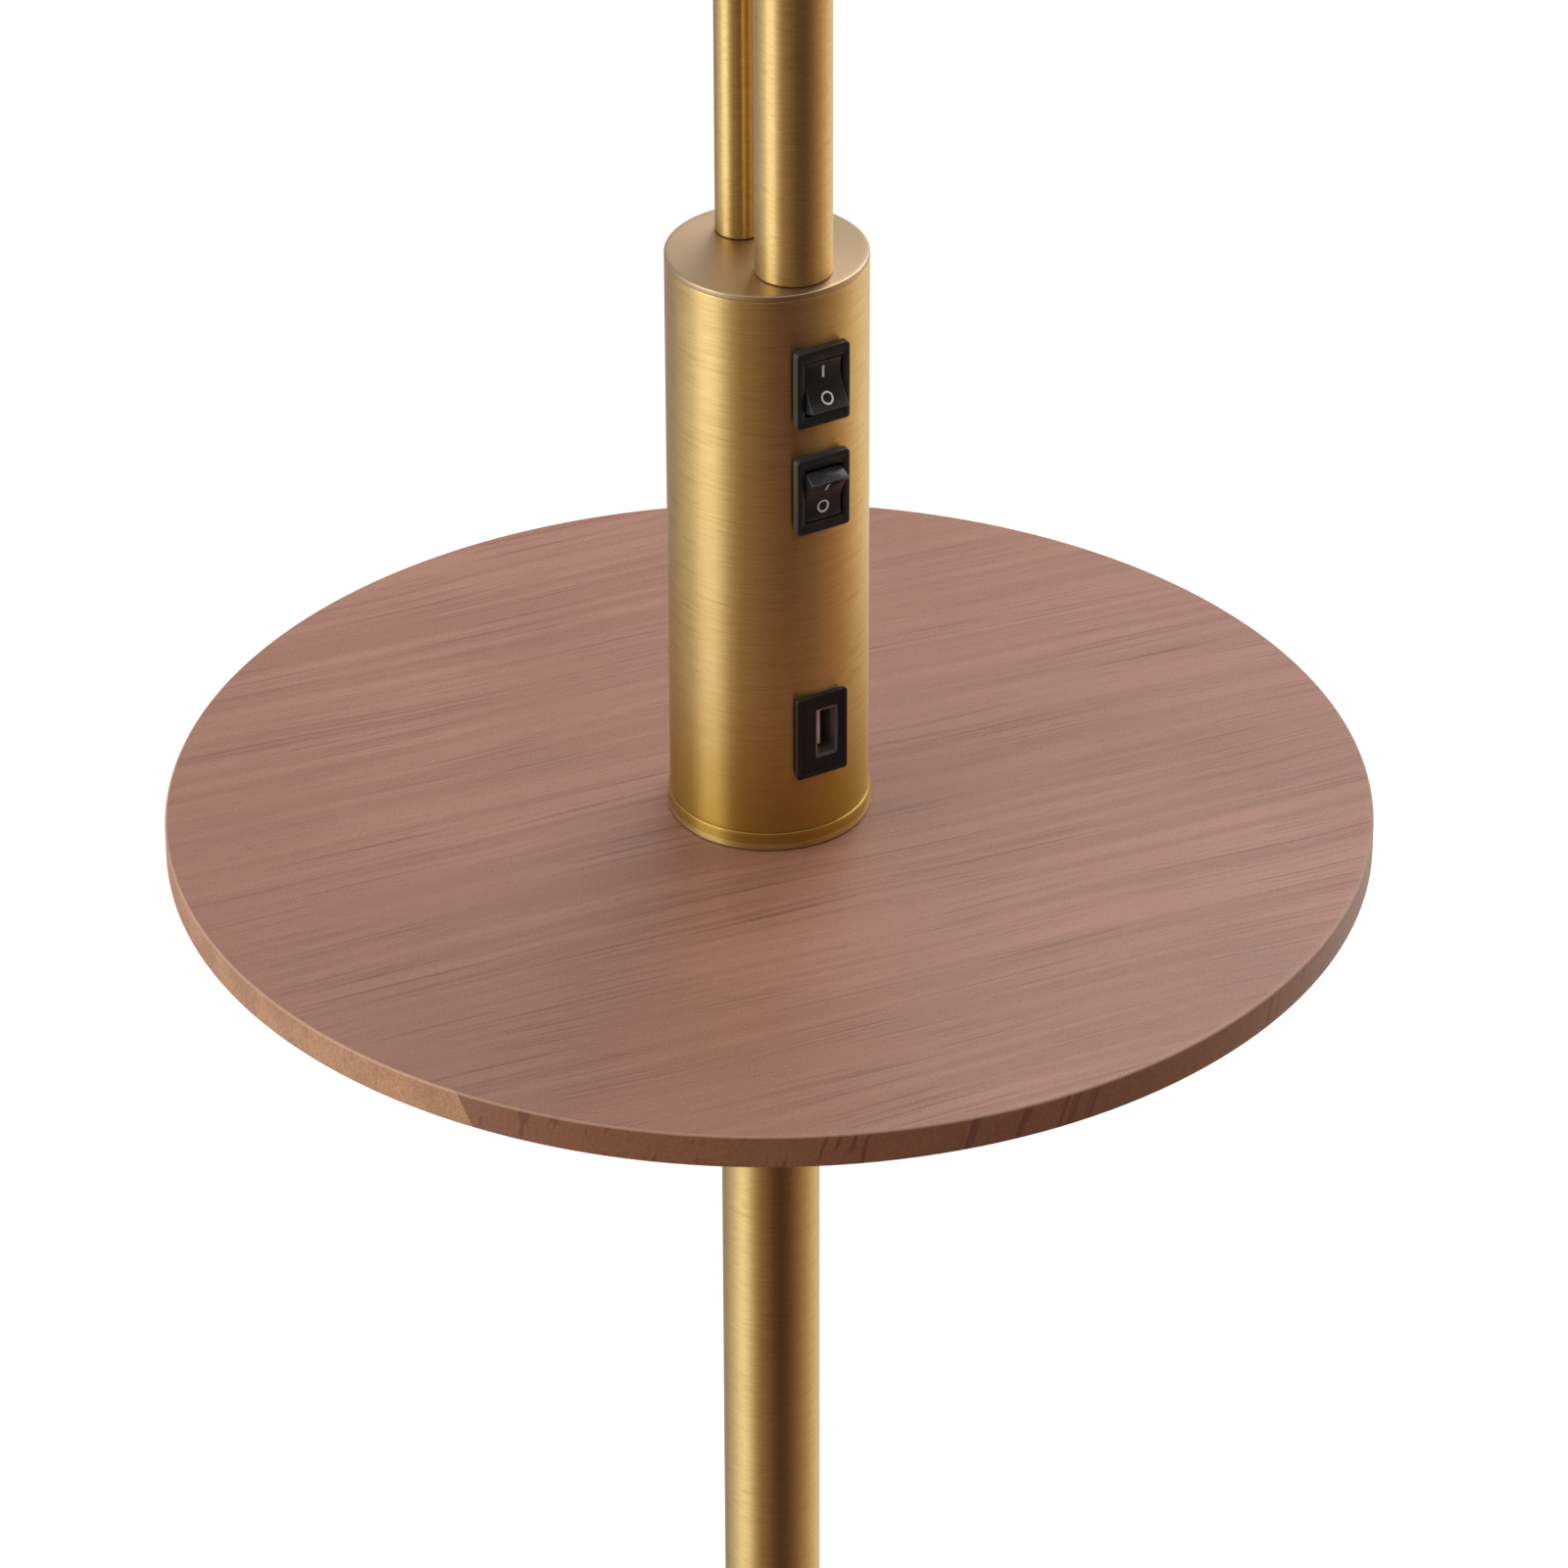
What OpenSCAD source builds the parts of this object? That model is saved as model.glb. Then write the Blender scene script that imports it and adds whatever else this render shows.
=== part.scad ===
// Shelf floor lamp: weighted base, round wooden shelf, control column and two upright poles.
// The origin is on the floor under the lower pole. +Z is up and the switches face -Y.

/* [Base] */
// Diameter of the base cover
base_d = 280; // [240:5:330]
// Height of the top of the base cover above the floor
base_h = 22; // [20:1:30]
// Radius of the rounded top edge of the base cover
base_edge_r = 7; // [3:0.5:7]
// Sheet thickness of the base cover
cover_wall = 1.2; // [0.8:0.1:1.6]
// Gap between the lower rim of the base cover and the floor
cover_lift = 1; // [0.5:0.1:2]
// Distance from the edge of the base cover in to the edge of the floor pad
pad_inset = 12; // [10:1:30]
// Thickness of the floor pad
pad_h = 2.5; // [2:0.1:3]
// Gap between the rim of the iron weight and the cover's wall
weight_gap = 8.8; // [6:0.2:14]
// Depth of the nut recess and the cord channel in the weight
recess_h = 10; // [9:0.5:12]
// Diameter of the decorative collar at the foot of the pole
collar_d = 44; // [36:1:60]
// Height of the decorative collar
collar_h = 8; // [5:0.5:15]
// Height of the cord gland's centre above the floor
gland_z = 8.5; // [8.2:0.1:8.6]
// Radius of the cord gland's bore
gland_bore_r = 3.3; // [2.5:0.1:3.5]

/* [Lower pole] */
// Outside diameter of the lower pole
pole_d = 25.4; // [22:0.2:32]
// Wall of the lower pole
pole_wall = 1.2; // [0.8:0.1:2]
// Height of the joint between the two lower pole sections
pole_split_z = 320; // [200:10:450]
// Length of the connector inside that joint
coupler_l = 60; // [40:2:90]

/* [Shelf] */
// Height of the shelf's upper face above the floor
shelf_z = 620; // [520:10:720]
// Diameter of the shelf
shelf_d = 305; // [260:5:360]
// Thickness of the shelf
shelf_h = 9; // [8:0.5:16]
// Rounding of the shelf's edges
shelf_edge_r = 0.7; // [0.3:0.1:2]
// Diameter of the steel flange under the shelf
flange_d = 90; // [70:2:130]
// Thickness of the flange plate
flange_t = 3; // [2:0.5:4]
// Diameter of the flange hub
hub_d = 34; // [30:1:50]
// Height of the flange hub below its plate
hub_h = 9; // [6:1:20]
// Number of wood screws in the flange
shelf_screw_count = 4; // [3:1:6]

/* [Control column] */
// Outside diameter of the column shell
column_d = 50; // [50:1:54]
// Wall of the column shell
column_wall = 1.5; // [1:0.1:1.6]
// Height of the column above the shelf
column_h = 156; // [152:1:200]
// Thickness of the cap's rim on top of the column
cap_rim_t = 1.5; // [1:0.1:2.5]
// Rounding of the cap's edge
cap_edge_r = 0.5; // [0.2:0.1:0.9]
// Height of the ring under the column shell
ring_h = 5; // [4:0.5:8]
// How far the ring stands out past the column shell
ring_lip = 0.5; // [0.3:0.1:1.5]
// Height of the spigot inside the shell
spigot_h = 7; // [6.2:0.1:8]
// Thickness of the cap inside the column
cap_boss_h = 3.5; // [3:0.1:4]

/* [Switches] */
// Height of the upper switch's centre above the shelf
upper_switch_z = 130.8; // [126:0.2:131.4]
// Height of the lower switch's centre above the shelf
lower_switch_z = 101.3; // [80:0.5:102]
// Width of the switch bezel
bezel_w = 15; // [14.6:0.1:16]
// Height of the switch bezel
bezel_h = 21; // [20.6:0.2:24]
// Thickness of the switch bezel
bezel_t = 2; // [1.5:0.1:2.5]
// Corner radius of the switch bezel
bezel_r = 1.2; // [0.6:0.1:1.8]
// Width of the switch body behind the bezel
switch_body_w = 12.8; // [12.6:0.1:13.4]
// Height of the switch body behind the bezel
switch_body_h = 19; // [18:0.2:19.4]
// Depth of the switch body behind the bezel
switch_body_l = 18; // [16:0.5:19]
// Width of the rocker
rocker_w = 10.2; // [9.4:0.1:10.4]
// Height of the rocker from ridge to ridge
rocker_ridge_h = 12.4; // [11:0.2:12.6]
// Depth of the hollow across the rocker's face
rocker_dish = 1.9; // [1:0.1:2.4]
// Tilt of the rocker to either side
rocker_swing = 18; // [12:1:19]

/* [USB port] */
// Height of the port plate's centre above the shelf
usb_z = 32.4; // [26:0.2:60]
// Width of the port plate
usb_plate_w = 14.4; // [14.2:0.1:16]
// Height of the port plate
usb_plate_h = 23; // [22.4:0.2:26]
// Thickness of the port plate
usb_plate_t = 1.2; // [0.8:0.1:2]
// Sideways offset of the port in its plate
usb_offset = 1.8; // [0:0.1:2]
// Depth of the charger module behind the plate
usb_case_l = 38; // [30:1:40]

/* [Upright poles] */
// Distance of each upright pole from the column's axis
pole_offset = 12.7; // [12.4:0.1:13]
// Outside diameter of the main pole
main_d = 19; // [17:0.2:20]
// Wall of the main pole
main_wall = 1; // [0.8:0.1:1.5]
// Height of the joint in the main pole above the floor
main_split_z = 1040; // [950:10:1100]
// Height of the top of the main pole above the floor
main_top_z = 1296; // [1220:4:1400]
// Outside diameter of the thin pole
thin_d = 12.5; // [12:0.1:13]
// Wall of the thin pole
thin_wall = 0.9; // [0.7:0.1:1]
// Height of the top of the thin pole above the floor
thin_top_z = 1130; // [1060:5:1150]

/* [Lampholder and bulb] */
// Outside diameter of the brass cup under the lampholder
cup_d = 37; // [36.4:0.2:40]
// Height of the brass cup
cup_h = 30; // [26:1:36]
// Largest diameter of the bulb
bulb_d = 60; // [50:1:70]
// Length of the bulb's glass above its cap
bulb_l = 77; // [70:1:90]

/* [Shade] */
// Diameter of the shade at the bottom
shade_bottom_d = 360; // [300:5:420]
// Diameter of the shade at the top
shade_top_d = 330; // [280:5:400]
// Height of the shade
shade_h = 230; // [200:5:280]
// How far the shade reaches below its fitter ring
shade_drop = 55; // [40:1:70]
// Thickness of the fabric and of the liner behind it
shade_skin = 0.6; // [0.4:0.1:1]
// Diameter of the wire in the shade's frame
shade_wire_d = 3; // [2.4:0.2:4]
// Height of the tape round each edge of the shade
shade_tape_h = 9; // [6:0.5:14]

/* [Reading light] */
// Distance from the swivel to the tilt joint
arm_l = 200; // [150:5:260]
// Outside diameter of the arm
arm_d = 10; // [9:0.5:11]
// Diameter of the swivel hub
hub_post_d = 22; // [20:0.5:26]
// Height of the swivel hub
swivel_h = 26; // [22:1:32]
// Radius of the tilt joint's ears
ear_r = 7; // [6:0.5:8]
// Diameter of the small shade where it starts
bell_top_d = 38; // [34:1:44]
// Diameter of the small shade's mouth
bell_mouth_d = 84; // [74:2:110]
// Length of the small shade
bell_l = 90; // [84:2:120]
// Wall of the small shade
bell_wall = 1; // [0.8:0.1:1.5]
// Diameter of the small bulb
small_bulb_d = 40; // [34:1:41]

/* [Hidden] */
$fn = 96;

// Clearance between pieces that are pressed or screwed together
fit = 0.05;
// Clearance round pieces that pass through a hole
pass = 0.25;
// Overshoot of a cut past the face that it opens
over = 1;

// Threaded parts
// Radius of the hollow main thread
thread_r = 4.95;
// Bore of the hollow main thread
thread_bore_r = 3.4;
// Radius of the thin pole's thread
small_thread_r = 3.95;
// Bore of the thin pole's thread
small_bore_r = 2;
// Width across flats and height of the main lock nut
nut_af = 17;
nut_h = 5;
// Width across flats and height of the thin pole's nut
small_nut_af = 13;
small_nut_h = 4;
// Thread that stands past a nut
thread_end = 1;
// Length of a plug inside its tube
plug_l = 18;

// Base
pole_r = pole_d / 2;
cover_r = base_d / 2;
coupler_wall = 4;
weight_r = cover_r - cover_wall - weight_gap;
weight_top = base_h - cover_wall - fit;
recess_z = pad_h + recess_h;
recess_r = 16;
washer_r = 12;
washer_t = 2;
channel_w = 9;
gland_body_r = 4.6;
gland_flange_r = 6.2;
gland_flange_t = 1.5;
gland_lip_r = 5.2;
gland_lip_t = 1.5;
gland_gap = 0.3;

// Shelf and flange
shelf_r = shelf_d / 2;
shelf_bottom = shelf_z - shelf_h;
flange_bottom = shelf_bottom - flange_t;
pole_top_z = flange_bottom - hub_h;
screw_circle_r = (flange_d / 2 + hub_d / 2) / 2 + 2;
screw_r = 2;
screw_head_r = 4;
screw_head_h = 2;
// Wood left above the tip of each screw
screw_skin = 2;

// Column
column_r = column_d / 2;
column_bore_r = column_r - column_wall;
ring_top = shelf_z + ring_h;
column_top = shelf_z + column_h;
shell_top = column_top - cap_rim_t;
cap_bottom_z = shell_top - cap_boss_h;
spigot_wall = 2.6;
stud_r = 2;
stud_x = 14.5;
stud_y = 6;
stud_nut_af = 7;
stud_nut_h = 3.2;
// Material left past the ends of the tie studs
stud_skin = 1.2;
ring_edge_r = 0.3;
shell_screw_angles = [55, 125];
shell_screw_r = 1.45;
shell_screw_head_r = 2.8;
shell_screw_head_h = 1.6;
shell_screw_z = ring_top + spigot_h / 2;

// Switches. Depths are measured outwards, towards -Y, from the rocker's pivot.
bezel_back_y = -column_r - fit;
bezel_front_y = bezel_back_y - bezel_t;
pivot_depth = 1.5;
pivot_y = bezel_front_y + pivot_depth;
rocker_ridge_depth = 3.5;
rocker_end_depth = -1;
rocker_end_h = rocker_ridge_h + 0.8;
rocker_back_depth = -3.2;
rocker_back_h = 7;
rocker_gap = 0.3;
trunnion_r = 0.9;
trunnion_l = 0.6;
trunnion_end_gap = 0.1;
// Farthest that a rocker's ridge reaches from its centre
rocker_reach = rocker_ridge_h / 2 * cos(rocker_swing) + rocker_ridge_depth * sin(rocker_swing);
opening_w = rocker_w + 2 * rocker_gap;
trunnion_x = opening_w / 2 + trunnion_l;
opening_h = 2 * (rocker_reach + rocker_gap);
cavity_depth = 9;
cavity_floor_y = bezel_front_y + cavity_depth;
// Radius of the hollow across the rocker's face
dish_r = (pow(rocker_ridge_h / 2, 2) + pow(rocker_dish, 2)) / (2 * rocker_dish);
switch_back_y = bezel_back_y + switch_body_l;
clip_h = 0.5;
clip_w = 6;
clip_l = 3;
clip_y = 0.3 - column_bore_r;
terminal_w = 4.8;
terminal_t = 0.8;
terminal_l = 7;
terminal_pitch = 10;

// USB port
plate_back_y = -column_r - fit;
plate_front_y = plate_back_y - usb_plate_t;
usb_opening_w = 6.6;
usb_opening_h = 14.4;
jack_w = 5.82;
jack_h = 13.2;
jack_wall = 0.35;
jack_l = 13;
tongue_w = 1.84;
tongue_h = 11.1;
// Distance from the plate's face to the tip of the jack's tongue
tongue_recess = 4.4;
// Gap on the narrow side of the tongue
tongue_side = 0.95;
case_w = 12.6;
case_h = 20.4;
usb_plate_r = 0.6;
case_front_y = plate_back_y + fit;

// Upright poles
main_r = main_d / 2;
thin_r = thin_d / 2;
main_y = -pole_offset;
thin_y = pole_offset;
main_coupler_wall = 3;
main_coupler_l = 2 / 3 * coupler_l;

// Lampholder, stacked upwards from the top of the main pole
cup_r = cup_d / 2;
cup_wall = 1.5;
cup_edge_r = 3;
cup_floor = 2;
cup_top = main_top_z + cup_h;
holder_gap = 0.15;
holder_r = cup_r - cup_wall - holder_gap;
holder_bottom = main_top_z + cup_floor + nut_h + 2 * thread_end;
shoulder_r = cup_r + cup_wall;
shoulder_t = 3;
fitter_z = cup_top + shoulder_t;
skirt_r = 18.2;
skirt_h = 23;
holder_top = fitter_z + skirt_h;
holder_bore_r = 14;
holder_bore_l = 36;
shell_t = 0.4;
shell_floor_gap = 2;
shell_rim_gap = 4;
contact_r = 6;
contact_skin = 1;
cap_r = 13.2;
cap_l = 25;
cap_floor_gap = 4;
cap_bottom = holder_top - holder_bore_l + cap_floor_gap;
cap_tip_r = 4.5;
cap_tip_l = 4;
cap_step = 1.5;
cap_wall = 0.5;
glass_in_cap = 8;
glass_t = 0.8;
cap_top = cap_bottom + cap_tip_l + cap_l;
bulb_r = bulb_d / 2;
bulb_centre_z = cap_top + bulb_l - bulb_r;

// Shade
shade_bottom_z = fitter_z - shade_drop;
shade_top_z = shade_bottom_z + shade_h;
shade_r0 = shade_bottom_d / 2;
shade_r1 = shade_top_d / 2;
wire_r = shade_wire_d / 2;
wire_gap = 0.1;
rim_inset = 0.5;
spider_clearance = 0.6;
spider_ring_r = skirt_r + spider_clearance + wire_r;
ring_nut_h = 7;
ring_nut_r = 23;
spoke_count = 3;
spoke_r = 0.8 * wire_r;
tape_t = 0.4;
// Radius of the shade's outside at height z above its bottom edge
function shade_r(z) = shade_r0 + (shade_r1 - shade_r0) * z / shade_h;
// Radius of a frame ring's wire, centred one wire radius inside the edge
function frame_ring_r(z) = shade_r(z) - 2 * shade_skin - wire_r - wire_gap;

// Reading light. At rest its arm points along +X from the thin pole's top.
post_flange_t = 3;
post_flange_r = 8;
post_pin_r = 4;
post_end_r = 3;
washer_gap = 0.3;
swivel_washer_t = 1.5;
swivel_washer_r = 8;
hub_bottom = thin_top_z + post_flange_t + washer_gap;
hub_top = hub_bottom + swivel_h;
pin_top = hub_top + 2 * washer_gap + swivel_washer_t;
swivel_cap_h = 7;
swivel_cap_r = 7.5;
swivel_cap_edge_r = 2.5;
swivel_cap_wall = 1;
arm_z = (hub_bottom + hub_top) / 2;
arm_r = arm_d / 2;
arm_wall = 1;
hub_edge_r = 1.5;
boss_wall = 2.5;
boss_r = arm_r + boss_wall;
boss_l = 24;
arm_start_x = 9.5;
clevis_l = 14;
arm_end_x = arm_l - clevis_l;
clevis_disc_l = 4;
ear_t = 2.8;
tongue_t = 8;
ear_gap = 0.3;
tilt_pin_r = 2;
tilt_head_r = 4;
tilt_head_h = 2.2;
stem_r = 4;
stem_shoulder_r = 7;
stem_shoulder_h = 2;
// Flat part of the stem below the tilt screw, and its hole for the lead
stem_flat_l = 14;
stem_hole_r = 1.5;
stem_hole_top = -ear_r - tilt_pin_r;
bell_top = -25;
stem_nut_h = 4;
bell_r0 = bell_top_d / 2;
bell_r1 = bell_mouth_d / 2;
bell_edge_r = 5;
// Straight part of the small shade before it flares
bell_straight = 32;
bell_steps = 14;
small_socket_r = 13;
small_socket_l = 31;
socket_thread_l = 4;
small_socket_top = bell_top - bell_wall - stem_nut_h - washer_gap;
small_cap_r = 7;
small_cap_l = 18;
small_bulb_r = small_bulb_d / 2;
small_socket_bottom = small_socket_top - small_socket_l;
small_glass_in_cap = 5;
small_bulb_gap = 0.6;
small_bulb_z = small_socket_bottom - small_bulb_r - small_bulb_gap;

// Wiring inside the lamp
feed_r = 2.4;
lead_r = 1;
// Radius of the crimped or soldered joint where a lead turns
lead_joint_r = 1.2;
// Places of the leads in the column: feed side, switched side, and behind the switches
feed_x = -2.6;
switched_x = 0.4;
feed_y = 3;
bridge_y = 2.5;

// Half profile of a disc with a rounded upper edge, for rotate_extrude
module edged_profile(r, h, edge) {
    square([r - edge, h]);
    square([r, h - edge]);
    translate([r - edge, h - edge]) circle(edge);
}

// Half profile of a disc with both edges rounded
module board_profile(r, h, edge) {
    square([r - edge, h]);
    translate([0, edge]) square([r, h - 2 * edge]);
    translate([r - edge, edge]) circle(edge);
    translate([r - edge, h - edge]) circle(edge);
}

// Upright tube from z0 to z1
module tube(outer_r, wall, z0, z1) {
    translate([0, 0, z0]) difference() {
        cylinder(r = outer_r, h = z1 - z0);
        translate([0, 0, -over]) cylinder(r = outer_r - wall, h = z1 - z0 + 2 * over);
    }
}

// Upright cylinder from z0 to z1
module rod(r, z0, z1) {
    translate([0, 0, z0]) cylinder(r = r, h = z1 - z0);
}

// Hexagon nut standing on z0
module hex_nut(af, h, hole_r, z0) {
    translate([0, 0, z0]) difference() {
        cylinder(r = af / sqrt(3), h = h, $fn = 6);
        translate([0, 0, -over]) cylinder(r = hole_r, h = h + 2 * over);
    }
}

// Rectangle with round corners, centred on the origin
module round_rect(w, h, r) {
    square([w - 2 * r, h], center = true);
    square([w, h - 2 * r], center = true);
    for (x = [-1, 1], y = [-1, 1]) translate([x * (w / 2 - r), y * (h / 2 - r)]) circle(r);
}

// Extrudes a shape drawn in X and Z from y0 to y1
module along_y(y0, y1) {
    translate([0, y1, 0]) rotate([90, 0, 0]) linear_extrude(y1 - y0) children();
}

// Cylinder along X from x0 to x1
module rod_x(r, x0, x1) {
    translate([x0, 0, 0]) rotate([0, 90, 0]) cylinder(r = r, h = x1 - x0);
}

// Cylinder along Y from y0 to y1
module rod_y(r, y0, y1) {
    translate([0, y1, 0]) rotate([90, 0, 0]) cylinder(r = r, h = y1 - y0);
}

// Base

module floor_pad() {
    color("dimgray") cylinder(r = cover_r - pad_inset, h = pad_h);
}

module base_weight() {
    color("darkslategray") difference() {
        rod(weight_r, pad_h, weight_top);
        rod(recess_r, pad_h - over, recess_z);
        rod(thread_r + pass, pad_h, base_h);
        translate([-channel_w / 2, 0, pad_h - over]) cube([channel_w, weight_r + over, recess_h + over]);
    }
}

module base_cover() {
    shell_h = base_h - cover_lift;
    color("goldenrod") translate([0, 0, cover_lift]) difference() {
        rotate_extrude() difference() {
            edged_profile(cover_r, shell_h, base_edge_r);
            edged_profile(cover_r - cover_wall, shell_h - cover_wall, base_edge_r - cover_wall);
            square([thread_r + pass, base_h]);
        }
        translate([0, 0, gland_z - cover_lift])
            rod_y(gland_body_r + fit, cover_r - 2 * cover_wall, cover_r + over);
    }
}

module cord_gland() {
    inner_y = cover_r - cover_wall - gland_gap;
    outer_y = cover_r + gland_flange_t;
    color("black") translate([0, 0, gland_z]) difference() {
        union() {
            rod_y(gland_lip_r, inner_y - gland_lip_t, inner_y);
            rod_y(gland_body_r, inner_y - gland_lip_t, outer_y);
            rod_y(gland_flange_r, cover_r, outer_y);
        }
        rod_y(gland_bore_r, inner_y - gland_lip_t - over, outer_y + over);
    }
}

module base_washer() {
    color("silver") tube(washer_r, washer_r - thread_r - pass, recess_z - washer_t, recess_z);
}

module pole_collar() {
    color("goldenrod") translate([0, 0, base_h]) rotate_extrude() difference() {
        edged_profile(collar_d / 2, collar_h, 2);
        square([pole_r + fit, collar_h]);
    }
}

// Lower pole

// Plug with a hollow thread that runs from thread_z to its face at face_z
module threaded_plug(r, face_z, thread_z, t_r, bore_r) {
    up = thread_z > face_z ? 1 : -1;
    far_z = face_z - up * plug_l;
    difference() {
        union() {
            rod(r, min(face_z, far_z), max(face_z, far_z));
            rod(t_r, min(face_z, thread_z), max(face_z, thread_z));
        }
        rod(bore_r, min(far_z, thread_z) - over, max(far_z, thread_z) + over);
    }
}

// Plugs in both ends of the lower pole, with the threads that clamp the base and the shelf
module pole_plugs() {
    foot_thread_z = recess_z - washer_t - nut_h - thread_end;
    top_thread_z = ring_top + nut_h + thread_end;
    plug_r = pole_r - pole_wall - fit;
    color("silver") {
        threaded_plug(plug_r, base_h, foot_thread_z, thread_r, thread_bore_r);
        threaded_plug(plug_r, pole_top_z, top_thread_z, thread_r, thread_bore_r);
    }
}

module pole_lower_tube() {
    color("goldenrod") tube(pole_r, pole_wall, base_h, pole_split_z);
}

module pole_coupler() {
    color("silver")
        tube(pole_r - pole_wall - fit, coupler_wall, pole_split_z - coupler_l / 2, pole_split_z + coupler_l / 2);
}

module pole_upper_tube() {
    color("goldenrod") tube(pole_r, pole_wall, pole_split_z, pole_top_z);
}

// Nuts on the hollow threads: base, column foot, both upright poles and the lampholder cup
module lock_nuts() {
    color("silver") {
        hex_nut(nut_af, nut_h, thread_r + fit, recess_z - washer_t - nut_h);
        hex_nut(nut_af, nut_h, thread_r + fit, ring_top);
        translate([0, main_y, 0]) hex_nut(nut_af, nut_h, thread_r + fit, cap_bottom_z - nut_h);
        translate([0, thin_y, 0])
            hex_nut(small_nut_af, small_nut_h, small_thread_r + fit, cap_bottom_z - small_nut_h);
        translate([0, main_y, 0]) hex_nut(nut_af, nut_h, thread_r + fit, main_top_z + cup_floor);
    }
}

// Shelf

module at_shelf_screws() {
    for (i = [0 : shelf_screw_count - 1]) rotate(45 + i * 360 / shelf_screw_count)
        translate([screw_circle_r, 0, 0]) children();
}

module shelf_flange() {
    color("goldenrod") difference() {
        union() {
            rod(hub_d / 2, pole_top_z, flange_bottom + over);
            rod(flange_d / 2, flange_bottom, shelf_bottom);
        }
        rod(thread_r + pass, pole_top_z - over, shelf_z);
        at_shelf_screws() rod(screw_r + fit, pole_top_z, shelf_z);
    }
}

module shelf_screws() {
    color("silver") at_shelf_screws() {
        rod(screw_head_r, flange_bottom - screw_head_h, flange_bottom);
        rod(screw_r, flange_bottom - screw_head_h, shelf_z - screw_skin);
    }
}

module shelf_board() {
    color("sienna") difference() {
        translate([0, 0, shelf_bottom]) rotate_extrude($fn = 180)
            board_profile(shelf_r, shelf_h, shelf_edge_r);
        rod(thread_r + pass, shelf_bottom - over, shelf_z + over);
        at_shelf_screws() rod(screw_r + fit, shelf_bottom - over, shelf_z - screw_skin + fit);
    }
}

// Control column

module at_studs() {
    for (side = [-1, 1]) translate([side * stud_x, stud_y, 0]) children();
}

module at_shell_screws() {
    for (a = shell_screw_angles) translate([0, 0, shell_screw_z]) rotate(a) children();
}

module column_ring() {
    color("goldenrod") difference() {
        union() {
            translate([0, 0, shelf_z]) rotate_extrude()
                edged_profile(column_r + ring_lip, ring_h, ring_edge_r);
            tube(column_bore_r - fit, spigot_wall, ring_top - over, ring_top + spigot_h);
        }
        rod(thread_r + pass, shelf_z - over, ring_top + over);
        at_studs() rod(stud_r + fit, shelf_z + stud_skin, ring_top + over);
        at_shell_screws() rod_x(shell_screw_r + fit, column_bore_r - spigot_wall - over, column_r);
    }
}

module column_shell() {
    color("goldenrod") difference() {
        tube(column_r, column_wall, ring_top, shell_top);
        for (z = [upper_switch_z, lower_switch_z])
            wall_cut(switch_body_w + pass, switch_body_h + pass, z);
        wall_cut(case_w + pass, case_h + pass, usb_z);
        at_shell_screws() rod_x(shell_screw_r + fit, column_bore_r - over, column_r + over);
    }
}

// Rectangular cut through the front wall of the column, centred z above the shelf
module wall_cut(w, h, z) {
    translate([-w / 2, -column_r - over, shelf_z + z - h / 2]) cube([w, column_r / 2, h]);
}

module shell_screws() {
    color("silver") at_shell_screws() {
        rod_x(shell_screw_head_r, column_r, column_r + shell_screw_head_h);
        rod_x(shell_screw_r, column_bore_r - spigot_wall, column_r + shell_screw_head_h);
    }
}

module tie_studs() {
    color("silver") at_studs() rod(stud_r, shelf_z + stud_skin, shell_top - stud_skin);
}

module stud_nuts() {
    color("silver") at_studs() {
        hex_nut(stud_nut_af, stud_nut_h, stud_r + fit, ring_top);
        hex_nut(stud_nut_af, stud_nut_h, stud_r + fit, cap_bottom_z - stud_nut_h);
    }
}

// Cap that closes the column and carries both upright poles
module column_cap() {
    color("goldenrod") difference() {
        union() {
            translate([0, 0, shell_top]) rotate_extrude()
                edged_profile(column_r, cap_rim_t, cap_edge_r);
            rod(column_bore_r - fit, cap_bottom_z, shell_top + cap_rim_t / 2);
        }
        translate([0, main_y, 0]) rod(thread_r + pass, cap_bottom_z - over, column_top + over);
        translate([0, thin_y, 0]) rod(small_thread_r + pass, cap_bottom_z - over, column_top + over);
        at_studs() rod(stud_r + fit, cap_bottom_z - over, shell_top - stud_skin + fit);
    }
}

// Switches

module switch_housing(z) {
    color("black") translate([0, 0, shelf_z + z]) difference() {
        union() {
            along_y(bezel_front_y, bezel_back_y) round_rect(bezel_w, bezel_h, bezel_r);
            along_y(bezel_back_y - over / 2, switch_back_y)
                square([switch_body_w, switch_body_h], center = true);
            along_y(clip_y, clip_y + clip_l)
                square([clip_w, switch_body_h + 2 * clip_h], center = true);
        }
        along_y(bezel_front_y - over, cavity_floor_y) square([opening_w, opening_h], center = true);
        translate([0, pivot_y, 0])
            rod_x(trunnion_r + fit, -trunnion_x - trunnion_end_gap, trunnion_x + trunnion_end_gap);
    }
}

// Rocker in its own frame, with the pivot at the origin, tilted about X
module rocker(tilt) {
    ridge = rocker_ridge_h / 2;
    end = rocker_end_h / 2;
    back = rocker_back_h / 2;
    color("dimgray") rotate([tilt, 0, 0]) {
        difference() {
            rotate([90, 0, 90]) linear_extrude(rocker_w, center = true) polygon([
                [-rocker_ridge_depth, -ridge], [-rocker_ridge_depth, ridge],
                [-rocker_end_depth, end], [-rocker_back_depth, back],
                [-rocker_back_depth, -back], [-rocker_end_depth, -end]
            ]);
            translate([0, rocker_dish - rocker_ridge_depth - dish_r, 0])
                rod_x(dish_r, -rocker_w, rocker_w);
        }
        rod_x(trunnion_r, -trunnion_x, trunnion_x);
    }
}

module upper_switch_housing() {
    switch_housing(upper_switch_z);
}

module lower_switch_housing() {
    switch_housing(lower_switch_z);
}

// The upper switch is on, so its top is pressed in. The lower one is off.
module upper_rocker() {
    translate([0, pivot_y, shelf_z + upper_switch_z]) rocker(-rocker_swing);
}

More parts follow.
